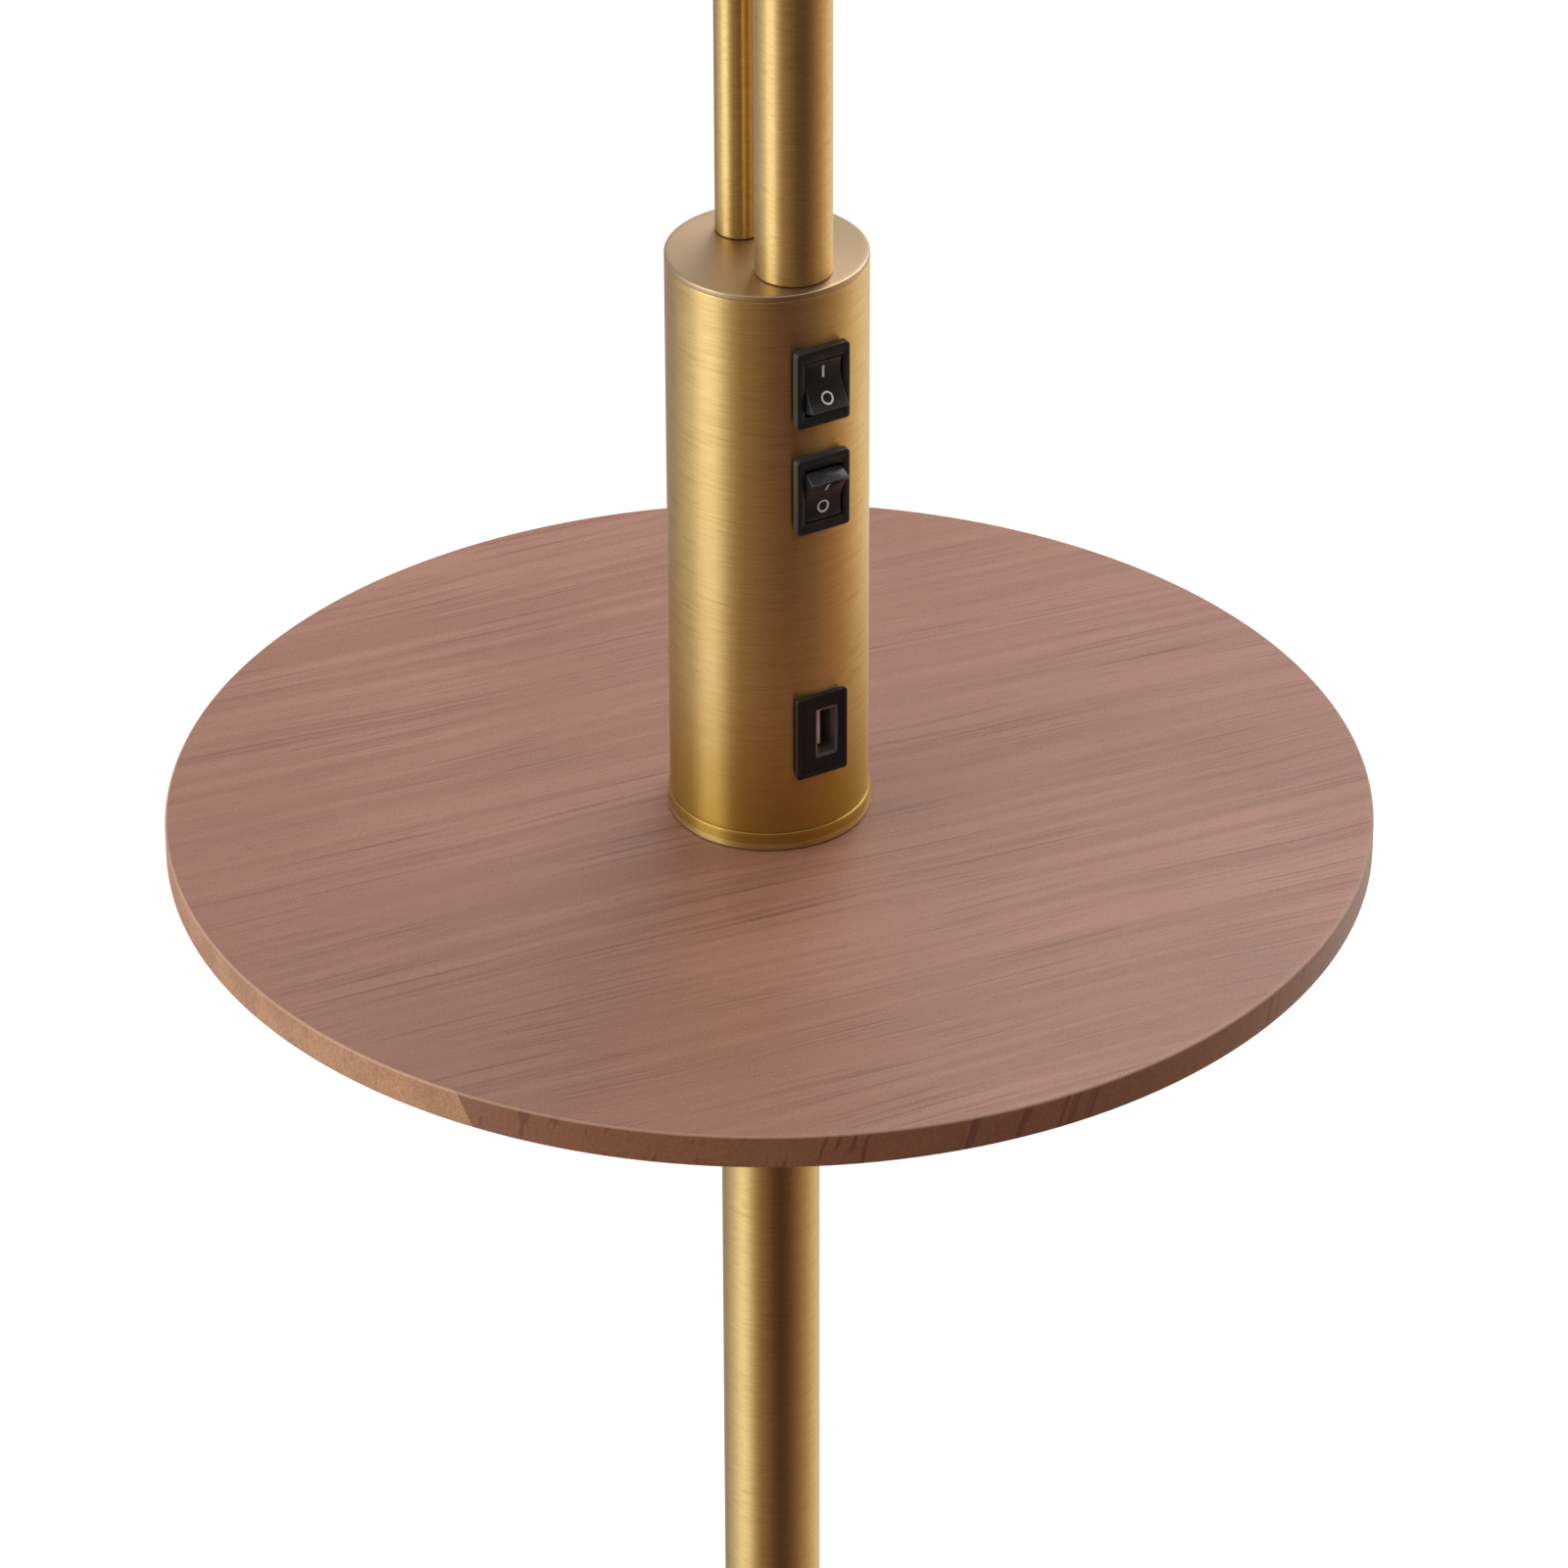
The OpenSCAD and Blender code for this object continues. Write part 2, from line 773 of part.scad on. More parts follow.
module lower_rocker() {
    translate([0, pivot_y, shelf_z + lower_switch_z]) rocker(rocker_swing);
}

module switch_terminals() {
    color("gold") for (z = [upper_switch_z, lower_switch_z], side = [-1, 1])
        translate([0, 0, shelf_z + z + side * terminal_pitch / 2])
            along_y(switch_back_y, switch_back_y + terminal_l)
                square([terminal_w, terminal_t], center = true);
}

// USB port

module usb_plate() {
    color("black") translate([0, 0, shelf_z + usb_z]) difference() {
        along_y(plate_front_y, plate_back_y) round_rect(usb_plate_w, usb_plate_h, usb_plate_r);
        translate([usb_offset, 0, 0]) along_y(plate_front_y - over, plate_back_y + over)
            square([usb_opening_w, usb_opening_h], center = true);
    }
}

module usb_case() {
    color("dimgray") translate([0, 0, shelf_z + usb_z]) difference() {
        along_y(case_front_y, case_front_y + usb_case_l) square([case_w, case_h], center = true);
        translate([usb_offset, 0, 0]) along_y(case_front_y - over, case_front_y + jack_l + fit)
            square([jack_w + 2 * fit, jack_h + 2 * fit], center = true);
    }
}

module usb_jack_shell() {
    color("silver") translate([usb_offset, 0, shelf_z + usb_z]) difference() {
        along_y(case_front_y, case_front_y + jack_l) square([jack_w, jack_h], center = true);
        along_y(case_front_y - over, case_front_y + jack_l - 1)
            square([jack_w - 2 * jack_wall, jack_h - 2 * jack_wall], center = true);
    }
}

module usb_jack_tongue() {
    inner_w = jack_w - 2 * jack_wall;
    x = -inner_w / 2 + tongue_side + tongue_w / 2;
    color("white") translate([usb_offset + x, 0, shelf_z + usb_z])
        along_y(plate_front_y + tongue_recess, case_front_y + jack_l - 1)
            square([tongue_w, tongue_h], center = true);
}

// Upright poles

// Plugs in both ends of the main pole
module main_pole_plugs() {
    foot_thread_z = cap_bottom_z - nut_h - thread_end;
    head_thread_z = main_top_z + cup_floor + nut_h + thread_end;
    plug_r = main_r - main_wall - fit;
    color("silver") translate([0, main_y, 0]) {
        threaded_plug(plug_r, column_top, foot_thread_z, thread_r, thread_bore_r);
        threaded_plug(plug_r, main_top_z, head_thread_z, thread_r, thread_bore_r);
    }
}

module main_lower_tube() {
    color("goldenrod") translate([0, main_y, 0]) tube(main_r, main_wall, column_top, main_split_z);
}

module main_coupler() {
    color("silver") translate([0, main_y, 0])
        tube(main_r - main_wall - fit, main_coupler_wall, main_split_z - main_coupler_l / 2,
            main_split_z + main_coupler_l / 2);
}

module main_upper_tube() {
    color("goldenrod") translate([0, main_y, 0]) tube(main_r, main_wall, main_split_z, main_top_z);
}

module thin_pole_foot() {
    thread_z = cap_bottom_z - small_nut_h - thread_end;
    color("silver") translate([0, thin_y, 0])
        threaded_plug(thin_r - thin_wall - fit, column_top, thread_z, small_thread_r, small_bore_r);
}

module thin_pole() {
    color("goldenrod") translate([0, thin_y, 0]) tube(thin_r, thin_wall, column_top, thin_top_z);
}

// Plug, flange, pivot pin and threaded end, turned in one piece
module thin_pole_head() {
    flange_top = thin_top_z + post_flange_t;
    color("goldenrod") translate([0, thin_y, 0]) difference() {
        union() {
            rod(thin_r - thin_wall - fit, thin_top_z - plug_l, thin_top_z);
            rod(post_flange_r, thin_top_z, flange_top);
            rod(post_pin_r, thin_top_z, pin_top);
            rod(post_end_r, thin_top_z, pin_top + swivel_cap_h - 2);
        }
        rod(small_bore_r, thin_top_z - plug_l - over, pin_top + swivel_cap_h);
    }
}

// Lampholder and bulb

module socket_cup() {
    color("goldenrod") translate([0, main_y, main_top_z]) rotate_extrude() difference() {
        union() {
            translate([0, cup_edge_r]) square([cup_r, cup_h - cup_edge_r]);
            square([cup_r - cup_edge_r, cup_edge_r + over]);
            translate([cup_r - cup_edge_r, cup_edge_r]) circle(cup_edge_r);
        }
        translate([0, cup_floor]) square([cup_r - cup_wall, cup_h]);
        square([thread_r + pass, 2 * cup_floor]);
    }
}

module socket_body() {
    color("black") translate([0, main_y, 0]) difference() {
        union() {
            rod(holder_r, holder_bottom, cup_top + over);
            rod(shoulder_r, cup_top, fitter_z);
            rod(skirt_r, cup_top, holder_top);
        }
        rod(holder_bore_r, holder_top - holder_bore_l, holder_top + over);
        translate([switched_x, 0, 0]) rod(lead_r + pass, holder_bottom - over, holder_top);
    }
}

module socket_screw_shell() {
    color("gold") translate([0, main_y, 0])
        tube(holder_bore_r - fit, shell_t, holder_top - holder_bore_l + shell_floor_gap,
            holder_top - shell_rim_gap);
}

// Centre contact that the cap's tip presses on, with a blind hole for the lead
module socket_contact() {
    floor_z = holder_top - holder_bore_l;
    color("gold") translate([0, main_y, 0]) difference() {
        rod(contact_r, floor_z, cap_bottom - 2 * fit);
        translate([switched_x, 0, 0]) rod(lead_r + fit, floor_z - over, cap_bottom - contact_skin);
    }
}

module bulb_cap() {
    color("silver") translate([0, main_y, 0]) {
        translate([0, 0, cap_bottom]) cylinder(r1 = cap_tip_r, r2 = cap_r - cap_step, h = cap_tip_l);
        tube(cap_r, cap_wall, cap_bottom + cap_tip_l, cap_top);
    }
}

// Half profile of the bulb, drawn inside its own outline by inset
module bulb_profile(inset) {
    neck_angle = 62;
    neck_r = cap_r - cap_wall - fit - inset;
    shoulder_r = (bulb_r - inset) * sin(neck_angle);
    shoulder_z = bulb_centre_z - (bulb_r - inset) * cos(neck_angle);
    intersection() {
        union() {
            translate([0, bulb_centre_z]) circle(bulb_r - inset);
            polygon([
                [0, cap_top - glass_in_cap + inset], [neck_r, cap_top - glass_in_cap + inset],
                [neck_r, cap_top], [shoulder_r, shoulder_z], [0, shoulder_z]
            ]);
        }
        translate([0, cap_bottom]) square([bulb_r, shade_top_z]);
    }
}

module bulb_glass() {
    color("white") translate([0, main_y, 0]) rotate_extrude() difference() {
        bulb_profile(0);
        bulb_profile(glass_t);
    }
}

// Shade

// Wire ring with its centre line at radius r and height z
module wire_ring(r, z) {
    translate([0, 0, z]) rotate_extrude() translate([r, 0]) circle(wire_r, $fn = 24);
}

// Straight spoke from p to q, a little thinner than the rings so that it ends inside them
module spoke_between(p, q) {
    d = q - p;
    translate(p) rotate([0, acos(d.z / norm(d)), atan2(d.y, d.x)])
        cylinder(r = spoke_r, h = norm(d));
}

// Band of the shade's cone, from inset a to inset b, between heights z0 and z1
module cone_band(a, b, z0, z1) {
    translate([0, 0, shade_bottom_z]) rotate_extrude($fn = 144) polygon([
        [shade_r(z0) - a, z0], [shade_r(z0) - b, z0], [shade_r(z1) - b, z1], [shade_r(z1) - a, z1]
    ]);
}

module shade_ring_nut() {
    color("black") translate([0, main_y, 0])
        tube(ring_nut_r, ring_nut_r - skirt_r - fit, fitter_z + 2 * wire_r + wire_gap,
             fitter_z + 2 * wire_r + ring_nut_h);
}

module shade_spider() {
    centre_z = fitter_z + wire_r + fit;
    rim_z = shade_bottom_z + wire_r + rim_inset;
    rim_r = frame_ring_r(wire_r);
    color("silver") translate([0, main_y, 0]) {
        wire_ring(spider_ring_r, centre_z);
        wire_ring(rim_r, rim_z);
        for (i = [0 : spoke_count - 1]) rotate(90 + i * 360 / spoke_count)
            spoke_between([spider_ring_r, 0, centre_z], [rim_r, 0, rim_z]);
    }
}

module shade_top_ring() {
    color("silver") translate([0, main_y, 0])
        wire_ring(frame_ring_r(shade_h), shade_top_z - wire_r - rim_inset);
}

module shade_liner() {
    color("whitesmoke") translate([0, main_y, 0]) cone_band(2 * shade_skin, shade_skin, 0, shade_h);
}

module shade_fabric() {
    color("ivory") translate([0, main_y, 0]) cone_band(shade_skin, 0, 0, shade_h);
}

module shade_tape() {
    color("beige") translate([0, main_y, 0]) {
        cone_band(-fit, -fit - tape_t, 0, shade_tape_h);
        cone_band(-fit, -fit - tape_t, shade_h - shade_tape_h, shade_h);
    }
}

// Reading light

// Frame of the swivelling arm: the origin is on the swivel's axis at the arm's height
module on_arm() {
    translate([0, thin_y, arm_z]) children();
}

// Frame of the tilting head: the origin is on the tilt joint's axis
module on_head() {
    translate([arm_l, thin_y, arm_z]) children();
}

module swivel_hub() {
    color("goldenrod") translate([0, thin_y, 0]) difference() {
        union() {
            translate([0, 0, hub_bottom]) rotate_extrude()
                board_profile(hub_post_d / 2, swivel_h, hub_edge_r);
            translate([0, 0, arm_z]) rod_x(boss_r, 0, boss_l);
        }
        rod(post_pin_r + fit, hub_bottom - over, hub_top + over);
        translate([0, 0, arm_z]) rod_x(arm_r + fit, arm_start_x, boss_l + over);
    }
}

// Spring washer and domed cap nut over the swivel
module swivel_cap() {
    washer_z = hub_top + washer_gap;
    color("goldenrod") translate([0, thin_y, 0]) {
        tube(swivel_washer_r, swivel_washer_r - post_pin_r - fit, washer_z, washer_z + swivel_washer_t);
        translate([0, 0, pin_top + fit]) difference() {
            rotate_extrude() edged_profile(swivel_cap_r, swivel_cap_h, swivel_cap_edge_r);
            translate([0, 0, -over]) cylinder(r = post_end_r + fit, h = swivel_cap_h - swivel_cap_wall + over);
        }
    }
}

module reading_arm() {
    color("goldenrod") on_arm() difference() {
        rod_x(arm_r, arm_start_x + fit, arm_end_x);
        rod_x(arm_r - arm_wall, arm_start_x - over, arm_end_x + over);
    }
}

module arm_clevis() {
    ear_outer = tongue_t / 2 + ear_gap + ear_t;
    slot_start = -arm_l + arm_end_x + clevis_disc_l;
    color("goldenrod") on_head() difference() {
        union() {
            rod_x(arm_r - arm_wall - fit, arm_end_x - arm_l - plug_l, arm_end_x - arm_l + over);
            rod_x(ear_r, arm_end_x - arm_l, slot_start);
            along_y(-ear_outer, ear_outer) {
                circle(ear_r);
                translate([slot_start - fit, -ear_r]) square([-slot_start + fit, 2 * ear_r]);
            }
        }
        translate([slot_start, -tongue_t / 2 - ear_gap, -ear_r - over])
            cube([ear_r - slot_start + over, tongue_t + 2 * ear_gap, 2 * (ear_r + over)]);
        rod_y(tilt_pin_r + fit, -ear_outer - over, ear_outer + over);
        rod_x(lead_r + fit, arm_end_x - arm_l - plug_l - over, slot_start + over);
    }
}

// Pivot screw with its head on one side and its nut on the other
module tilt_screw() {
    ear_outer = tongue_t / 2 + ear_gap + ear_t;
    color("goldenrod") on_head() {
        rod_y(tilt_head_r, -ear_outer - tilt_head_h, -ear_outer);
        rod_y(tilt_pin_r, -ear_outer - tilt_head_h, ear_outer + tilt_head_h);
        difference() {
            rod_y(tilt_head_r, ear_outer, ear_outer + tilt_head_h);
            rod_y(tilt_pin_r + fit, ear_outer - over, ear_outer + tilt_head_h + over);
        }
    }
}

// Tilting tongue, shoulder and threaded stem with its nut, which carry the small shade
module head_stem() {
    nut_z = bell_top - bell_wall - stem_nut_h;
    stem_bottom = small_socket_top - socket_thread_l + pass;
    color("goldenrod") on_head() {
        difference() {
            union() {
                rod_y(ear_r, -tongue_t / 2, tongue_t / 2);
                translate([-stem_r, -tongue_t / 2, -stem_flat_l])
                    cube([2 * stem_r, tongue_t, stem_flat_l]);
                rod(stem_r, stem_bottom, 1 - stem_flat_l);
                rod(stem_shoulder_r, bell_top, bell_top + stem_shoulder_h);
            }
            rod_y(tilt_pin_r + fit, -tongue_t, tongue_t);
            rod(stem_hole_r, stem_bottom - over, stem_hole_top);
        }
        hex_nut(small_nut_af, stem_nut_h, stem_r + fit, nut_z);
    }
}

// One side of the small shade's wall from its top to its mouth, inset by the given amount
function bell_side(inset) = concat(
    [for (a = [90 : -15 : 0]) [
        bell_r0 - bell_edge_r + (bell_edge_r - inset) * cos(a),
        bell_top - bell_edge_r + (bell_edge_r - inset) * sin(a)
    ]],
    [for (i = [0 : bell_steps]) [
        bell_r0 + (bell_r1 - bell_r0) * (1 - cos(90 * i / bell_steps)) - inset,
        bell_top - bell_straight - (bell_l - bell_straight) * i / bell_steps
    ]]
);

module reading_shade() {
    outside = bell_side(0);
    inside = bell_side(bell_wall);
    last = len(inside) - 1;
    color("goldenrod") on_head() rotate_extrude() polygon(concat(
        [[stem_r + fit, bell_top]], outside,
        [for (i = [last : -1 : 0]) inside[i]], [[stem_r + fit, bell_top - bell_wall]]
    ));
}

module reading_socket() {
    color("black") on_head() difference() {
        rod(small_socket_r, small_socket_bottom, small_socket_top);
        rod(stem_r + fit, small_socket_top - socket_thread_l, small_socket_top + over);
        rod(small_cap_r + pass, small_socket_bottom - over, small_socket_bottom + small_cap_l + pass);
    }
}

module small_bulb_cap() {
    color("silver") on_head()
        tube(small_cap_r, cap_wall, small_socket_bottom, small_socket_bottom + small_cap_l);
}

module small_bulb_glass() {
    neck_r = small_cap_r - cap_wall - fit;
    neck_z = small_socket_bottom + small_glass_in_cap;
    color("white") on_head() rotate_extrude() difference() {
        small_bulb_profile(small_bulb_r, neck_r, neck_z);
        small_bulb_profile(small_bulb_r - glass_t, neck_r - glass_t, neck_z - glass_t);
    }
}

// Half profile of the small bulb with its neck
module small_bulb_profile(r, neck_r, neck_z) {
    intersection() {
        union() {
            translate([0, small_bulb_z]) circle(r);
            translate([0, small_bulb_z]) square([neck_r, neck_z - small_bulb_z]);
        }
        translate([0, small_bulb_z - r]) square([r, neck_z - small_bulb_z + r]);
    }
}

// Wiring

// Straight run of a lead from p to q with a joint at its start
module lead_run(p, q) {
    d = q - p;
    translate(p) rotate([0, acos(d.z / norm(d)), atan2(d.y, d.x)]) cylinder(r = lead_r, h = norm(d));
    translate(p) sphere(r = lead_joint_r);
}

// The leads that run inside the poles and the column
module wiring() {
    blade_y = switch_back_y + terminal_l;
    case_bottom_z = shelf_z + usb_z - case_h / 2;
    case_top_z = shelf_z + usb_z + case_h / 2;
    lower_out_z = shelf_z + lower_switch_z + terminal_pitch / 2;
    upper_out_z = shelf_z + upper_switch_z + terminal_pitch / 2;
    lower_in_z = lower_out_z - terminal_pitch;
    upper_in_z = upper_out_z - terminal_pitch;
    main_thread_z = cap_bottom_z - nut_h - thread_end;
    bridge_z = (shelf_z + upper_switch_z + switch_body_h / 2 + clip_h + main_thread_z) / 2;
    color("white") {
        rod(feed_r, pad_h, case_bottom_z);
        lead_run([feed_x, feed_y, lower_in_z], [feed_x, feed_y, case_top_z]);
        lead_run([feed_x, feed_y, upper_in_z], [feed_x, feed_y, lower_in_z]);
        lead_run([feed_x, feed_y, lower_in_z], [feed_x, blade_y, lower_in_z]);
        lead_run([feed_x, feed_y, upper_in_z], [feed_x, blade_y, upper_in_z]);
        lead_run([switched_x, thin_y, lower_out_z], [switched_x, thin_y, pin_top]);
        lead_run([switched_x, thin_y, lower_out_z], [switched_x, blade_y, lower_out_z]);
        lead_run([switched_x, bridge_y, upper_out_z], [switched_x, blade_y, upper_out_z]);
        lead_run([switched_x, bridge_y, bridge_z], [switched_x, bridge_y, upper_out_z]);
        lead_run([switched_x, main_y, bridge_z], [switched_x, bridge_y, bridge_z]);
        translate([switched_x, main_y, 0]) rod(lead_r, bridge_z, cap_bottom - contact_skin);
    }
}

module arm_lead() {
    color("white") on_arm() rod_x(lead_r, arm_start_x, arm_end_x + clevis_disc_l);
}

floor_pad();
base_weight();
base_cover();
cord_gland();
base_washer();
pole_collar();
pole_plugs();
pole_lower_tube();
pole_coupler();
pole_upper_tube();
lock_nuts();
shelf_flange();
shelf_screws();
shelf_board();
column_ring();
column_shell();
column_cap();
shell_screws();
tie_studs();
stud_nuts();
upper_switch_housing();
upper_rocker();
lower_switch_housing();
lower_rocker();
switch_terminals();
usb_plate();
usb_case();
usb_jack_shell();
usb_jack_tongue();
main_pole_plugs();
main_lower_tube();
main_coupler();
main_upper_tube();
socket_cup();
socket_body();
socket_screw_shell();
socket_contact();
bulb_cap();
bulb_glass();
shade_ring_nut();
shade_spider();
shade_top_ring();
shade_liner();
shade_fabric();
shade_tape();
thin_pole_foot();
thin_pole();
thin_pole_head();
swivel_hub();
swivel_cap();
reading_arm();
arm_clevis();
tilt_screw();
head_stem();
reading_shade();
reading_socket();
small_bulb_cap();
small_bulb_glass();
wiring();
arm_lead();
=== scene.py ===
import math

import bmesh
import bpy
from mathutils import Matrix, Vector


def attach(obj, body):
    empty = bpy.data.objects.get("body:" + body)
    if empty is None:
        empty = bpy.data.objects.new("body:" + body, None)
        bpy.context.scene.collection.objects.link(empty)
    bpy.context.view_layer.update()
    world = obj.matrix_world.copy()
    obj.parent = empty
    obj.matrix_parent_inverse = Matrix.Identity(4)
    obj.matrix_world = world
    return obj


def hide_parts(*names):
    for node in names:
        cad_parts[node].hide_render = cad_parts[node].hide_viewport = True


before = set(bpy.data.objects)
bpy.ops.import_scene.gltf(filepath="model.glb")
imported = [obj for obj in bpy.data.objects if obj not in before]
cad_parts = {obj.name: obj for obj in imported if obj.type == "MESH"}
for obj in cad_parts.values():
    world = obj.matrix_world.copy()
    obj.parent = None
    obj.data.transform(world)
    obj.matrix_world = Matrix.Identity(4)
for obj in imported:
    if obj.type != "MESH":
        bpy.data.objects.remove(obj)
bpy.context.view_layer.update()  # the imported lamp, in metres, standing on z = 0
mm = 0.001
print("frame loaded,", len(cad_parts), "nodes")

# Camera at the photograph's angle, aimed at the middle of the shelf
photoView = {
    "azimuth": -30.5, "elevation": 31.48, "roll": -0.177,
    "distance": 1909.5, "aimRight": 3.74, "aimUp": 4.14, "shelfTop": 620,
    "lens": 173.6, "sensor": 36, "farthest": 60,
}
camAz, camEl = math.radians(photoView["azimuth"]), math.radians(photoView["elevation"])
camRoll = math.radians(photoView["roll"])
camRight = Vector((math.cos(camAz), math.sin(camAz), 0))
camBack = Vector((math.sin(camAz) * math.cos(camEl), -math.cos(camAz) * math.cos(camEl), math.sin(camEl)))
camUp = camBack.cross(camRight)
aim = camRight * photoView["aimRight"] + Vector((0, 0, photoView["shelfTop"] + photoView["aimUp"]))
camera = bpy.data.objects.new("camera", bpy.data.cameras.new("camera"))
bpy.context.scene.collection.objects.link(camera)
camera.data.sensor_width = photoView["sensor"]
camera.data.lens = photoView["lens"]
camera.data.clip_end = photoView["farthest"]
axes = (
    camRight * math.cos(camRoll) + camUp * math.sin(camRoll),
    camUp * math.cos(camRoll) - camRight * math.sin(camRoll),
    camBack,
)
turn = Matrix([[axis[row] for axis in axes] for row in range(3)]).to_4x4()
camera.matrix_world = Matrix.Translation((aim + camBack * photoView["distance"]) * mm) @ turn
bpy.context.scene.camera = camera


# Modelling helpers. Sizes are in millimetres, in the lamp's own frame.

def setMode(mode):
    bpy.ops.object.mode_set(mode=mode)


def selectAll():
    bpy.ops.mesh.select_all(action="SELECT")


def applyMoves():
    bpy.ops.object.transform_apply(location=True, rotation=True, scale=True)


def startClean():
    if bpy.context.mode != "OBJECT":
        setMode("OBJECT")
    bpy.ops.object.select_all(action="DESELECT")


def makeOnly(piece):
    startClean()
    piece.select_set(True)
    bpy.context.view_layer.objects.active = piece


def editMesh(piece):
    makeOnly(piece)
    setMode("EDIT")


def smoothBy(piece, degrees=32):
    makeOnly(piece)
    bpy.ops.object.shade_smooth_by_angle(angle=math.radians(degrees))


def rename(name):
    piece = bpy.context.object
    piece.name = piece.data.name = name
    return piece


# Rounds the corners of an outline whose points carry a third number, the radius
def softened(corners, closed, arcSteps=5):
    points = []
    for i, corner in enumerate(corners):
        here = Vector(corner[:2])
        radius = corner[2] if len(corner) > 2 else 0
        if radius == 0 or (not closed and i in (0, len(corners) - 1)):
            points.append(here)
            continue
        before = (Vector(corners[i - 1][:2]) - here).normalized()
        after = (Vector(corners[(i + 1) % len(corners)][:2]) - here).normalized()
        half = before.angle(after) / 2
        middle = here + (before + after).normalized() * radius / math.sin(half)
        first = here + before * radius / math.tan(half) - middle
        last = here + after * radius / math.tan(half) - middle
        sweep = (math.pi - 2 * half) * (1 if first.x * last.y - first.y * last.x > 0 else -1)
        for k in range(arcSteps + 1):
            points.append(middle + Matrix.Rotation(sweep * k / arcSteps, 2) @ first)
    return points


# Adds a point a little way in from both ends of each long stretch of an outline
def withSupports(line, closed, inset=1.2):
    points = []
    for i, here in enumerate(line):
        points.append(here)
        if i + 1 == len(line) and not closed:
            break
        step = line[(i + 1) % len(line)] - here
        if step.length > 3 * inset:
            points += [here + step.normalized() * inset, here + step - step.normalized() * inset]
    return points


# Draws a line of single edges through points in edit mode, starting from a small plane
def drawLine(name, points):
    startClean()
    bpy.ops.mesh.primitive_plane_add(size=2 * mm)
    piece = rename(name)
    setMode("EDIT")
    bpy.ops.mesh.select_mode(type="VERT")
    selectAll()
    bpy.ops.mesh.merge(type="CENTER")
    bpy.ops.transform.translate(value=points[0] * mm)
    for last, point in zip(points, points[1:]):
        bpy.ops.mesh.extrude_region_move(TRANSFORM_OT_translate={"value": (point - last) * mm})
    selectAll()
    return piece


# Turns all faces of the drawn shape outward and leaves edit mode
def endShape():
    selectAll()
    bpy.ops.mesh.normals_make_consistent(inside=False)
    setMode("OBJECT")


# Moves a piece drawn at the origin to its place, with its own Z turned to the given direction
def settle(piece, at=(0, 0, 0), along="Z"):
    facing = along
    if isinstance(along, str):
        facing = {"X": (1, 0, 0), "Y": (0, 1, 0), "Z": (0, 0, 1), "-Y": (0, -1, 0)}[along]
    makeOnly(piece)
    turned = Matrix.Identity(4)
    if along != "Z":
        turned = Vector((0, 0, 1)).rotation_difference(Vector(facing)).to_matrix().to_4x4()
    piece.matrix_world = Matrix.Translation(Vector(at) * mm) @ turned @ piece.matrix_world
    applyMoves()
    return piece


# A turned piece: its half outline as (radius, height) spun round its own axis
def turnedPiece(name, corners, at=(0, 0, 0), along="Z", steps=96, smooth=32):
    onAxis = corners[0][0] == 0 and corners[-1][0] == 0
    line = withSupports(softened(corners, not onAxis), not onAxis)
    if not onAxis:
        line.append(line[0])
    piece = drawLine(name, [Vector((p.x, 0, p.y)) for p in line])
    bpy.ops.mesh.spin(steps=steps, angle=2 * math.pi, center=(0, 0, 0), axis=(0, 0, 1))
    selectAll()
    bpy.ops.mesh.remove_doubles(threshold=0.01 * mm)
    endShape()
    settle(piece, at, along)
    smoothBy(piece, smooth)
    return piece


# Half outline of a ring, or of a disc when the inner radius is 0, with its outer corners rounded
def ringOutline(inner, outer, low, high, lowEdge=0, highEdge=0):
    return [(inner, low), (outer, low, lowEdge), (outer, high, highEdge), (inner, high)]


def tubePiece(name, radius, wall, low, high, at=(0, 0, 0), along="Z", edge=0.3):
    return turnedPiece(name, ringOutline(radius - wall, radius, low, high, edge, edge), at, along)


def boxCorners(halfX, halfZ, radius):
    signs = ((-1, -1), (1, -1), (1, 1), (-1, 1))
    return [(halfX * x, halfZ * z, radius) for x, z in signs]


# A flat outline drawn in X and Z, filled and pulled back from front to back along Y
def cutPlate(name, corners, front, back):
    line = softened(corners, True, 6)
    piece = drawLine(name, [Vector((p.x, front, p.y)) for p in line])
    bpy.ops.mesh.edge_face_add()
    bpy.ops.mesh.extrude_region_move(TRANSFORM_OT_translate={"value": (0, (back - front) * mm, 0)})
    endShape()
    return piece


def block(name, low, high):
    startClean()
    low, high = Vector(low), Vector(high)
    bpy.ops.mesh.primitive_cube_add(size=mm, location=(low + high) / 2 * mm, scale=high - low)
    piece = rename(name)
    applyMoves()
    return piece


# Selects edges of the piece in edit mode by their middle and direction
def pickEdges(test):
    mesh = bmesh.from_edit_mesh(bpy.context.object.data)
    bpy.ops.mesh.select_mode(type="EDGE")
    bpy.ops.mesh.select_all(action="DESELECT")
    for edge in mesh.edges:
        first, last = (vert.co for vert in edge.verts)
        if test((first + last) / 2 / mm, (last - first).normalized()):
            edge.select_set(True)
    bmesh.update_edit_mesh(bpy.context.object.data)


def finishWith(piece, kind, **settings):
    makeOnly(piece)
    modifier = piece.modifiers.new(kind.lower(), kind)
    for key, value in settings.items():
        setattr(modifier, key, value)
    bpy.ops.object.modifier_apply(modifier=modifier.name)


def softEdges(piece, width, segments=3, limit=35):
    finishWith(piece, "BEVEL", width=width * mm, segments=segments, limit_method="ANGLE",
               angle_limit=math.radians(limit), harden_normals=False)
    smoothBy(piece, 35)


def combine(piece, other, how="DIFFERENCE"):
    finishWith(piece, "BOOLEAN", operation=how, object=other, solver="EXACT")
    bpy.data.objects.remove(other)


def joinTogether(name, pieces):
    startClean()
    for piece in pieces:
        piece.select_set(True)
    bpy.context.view_layer.objects.active = pieces[0]
    bpy.ops.object.join()
    return rename(name)


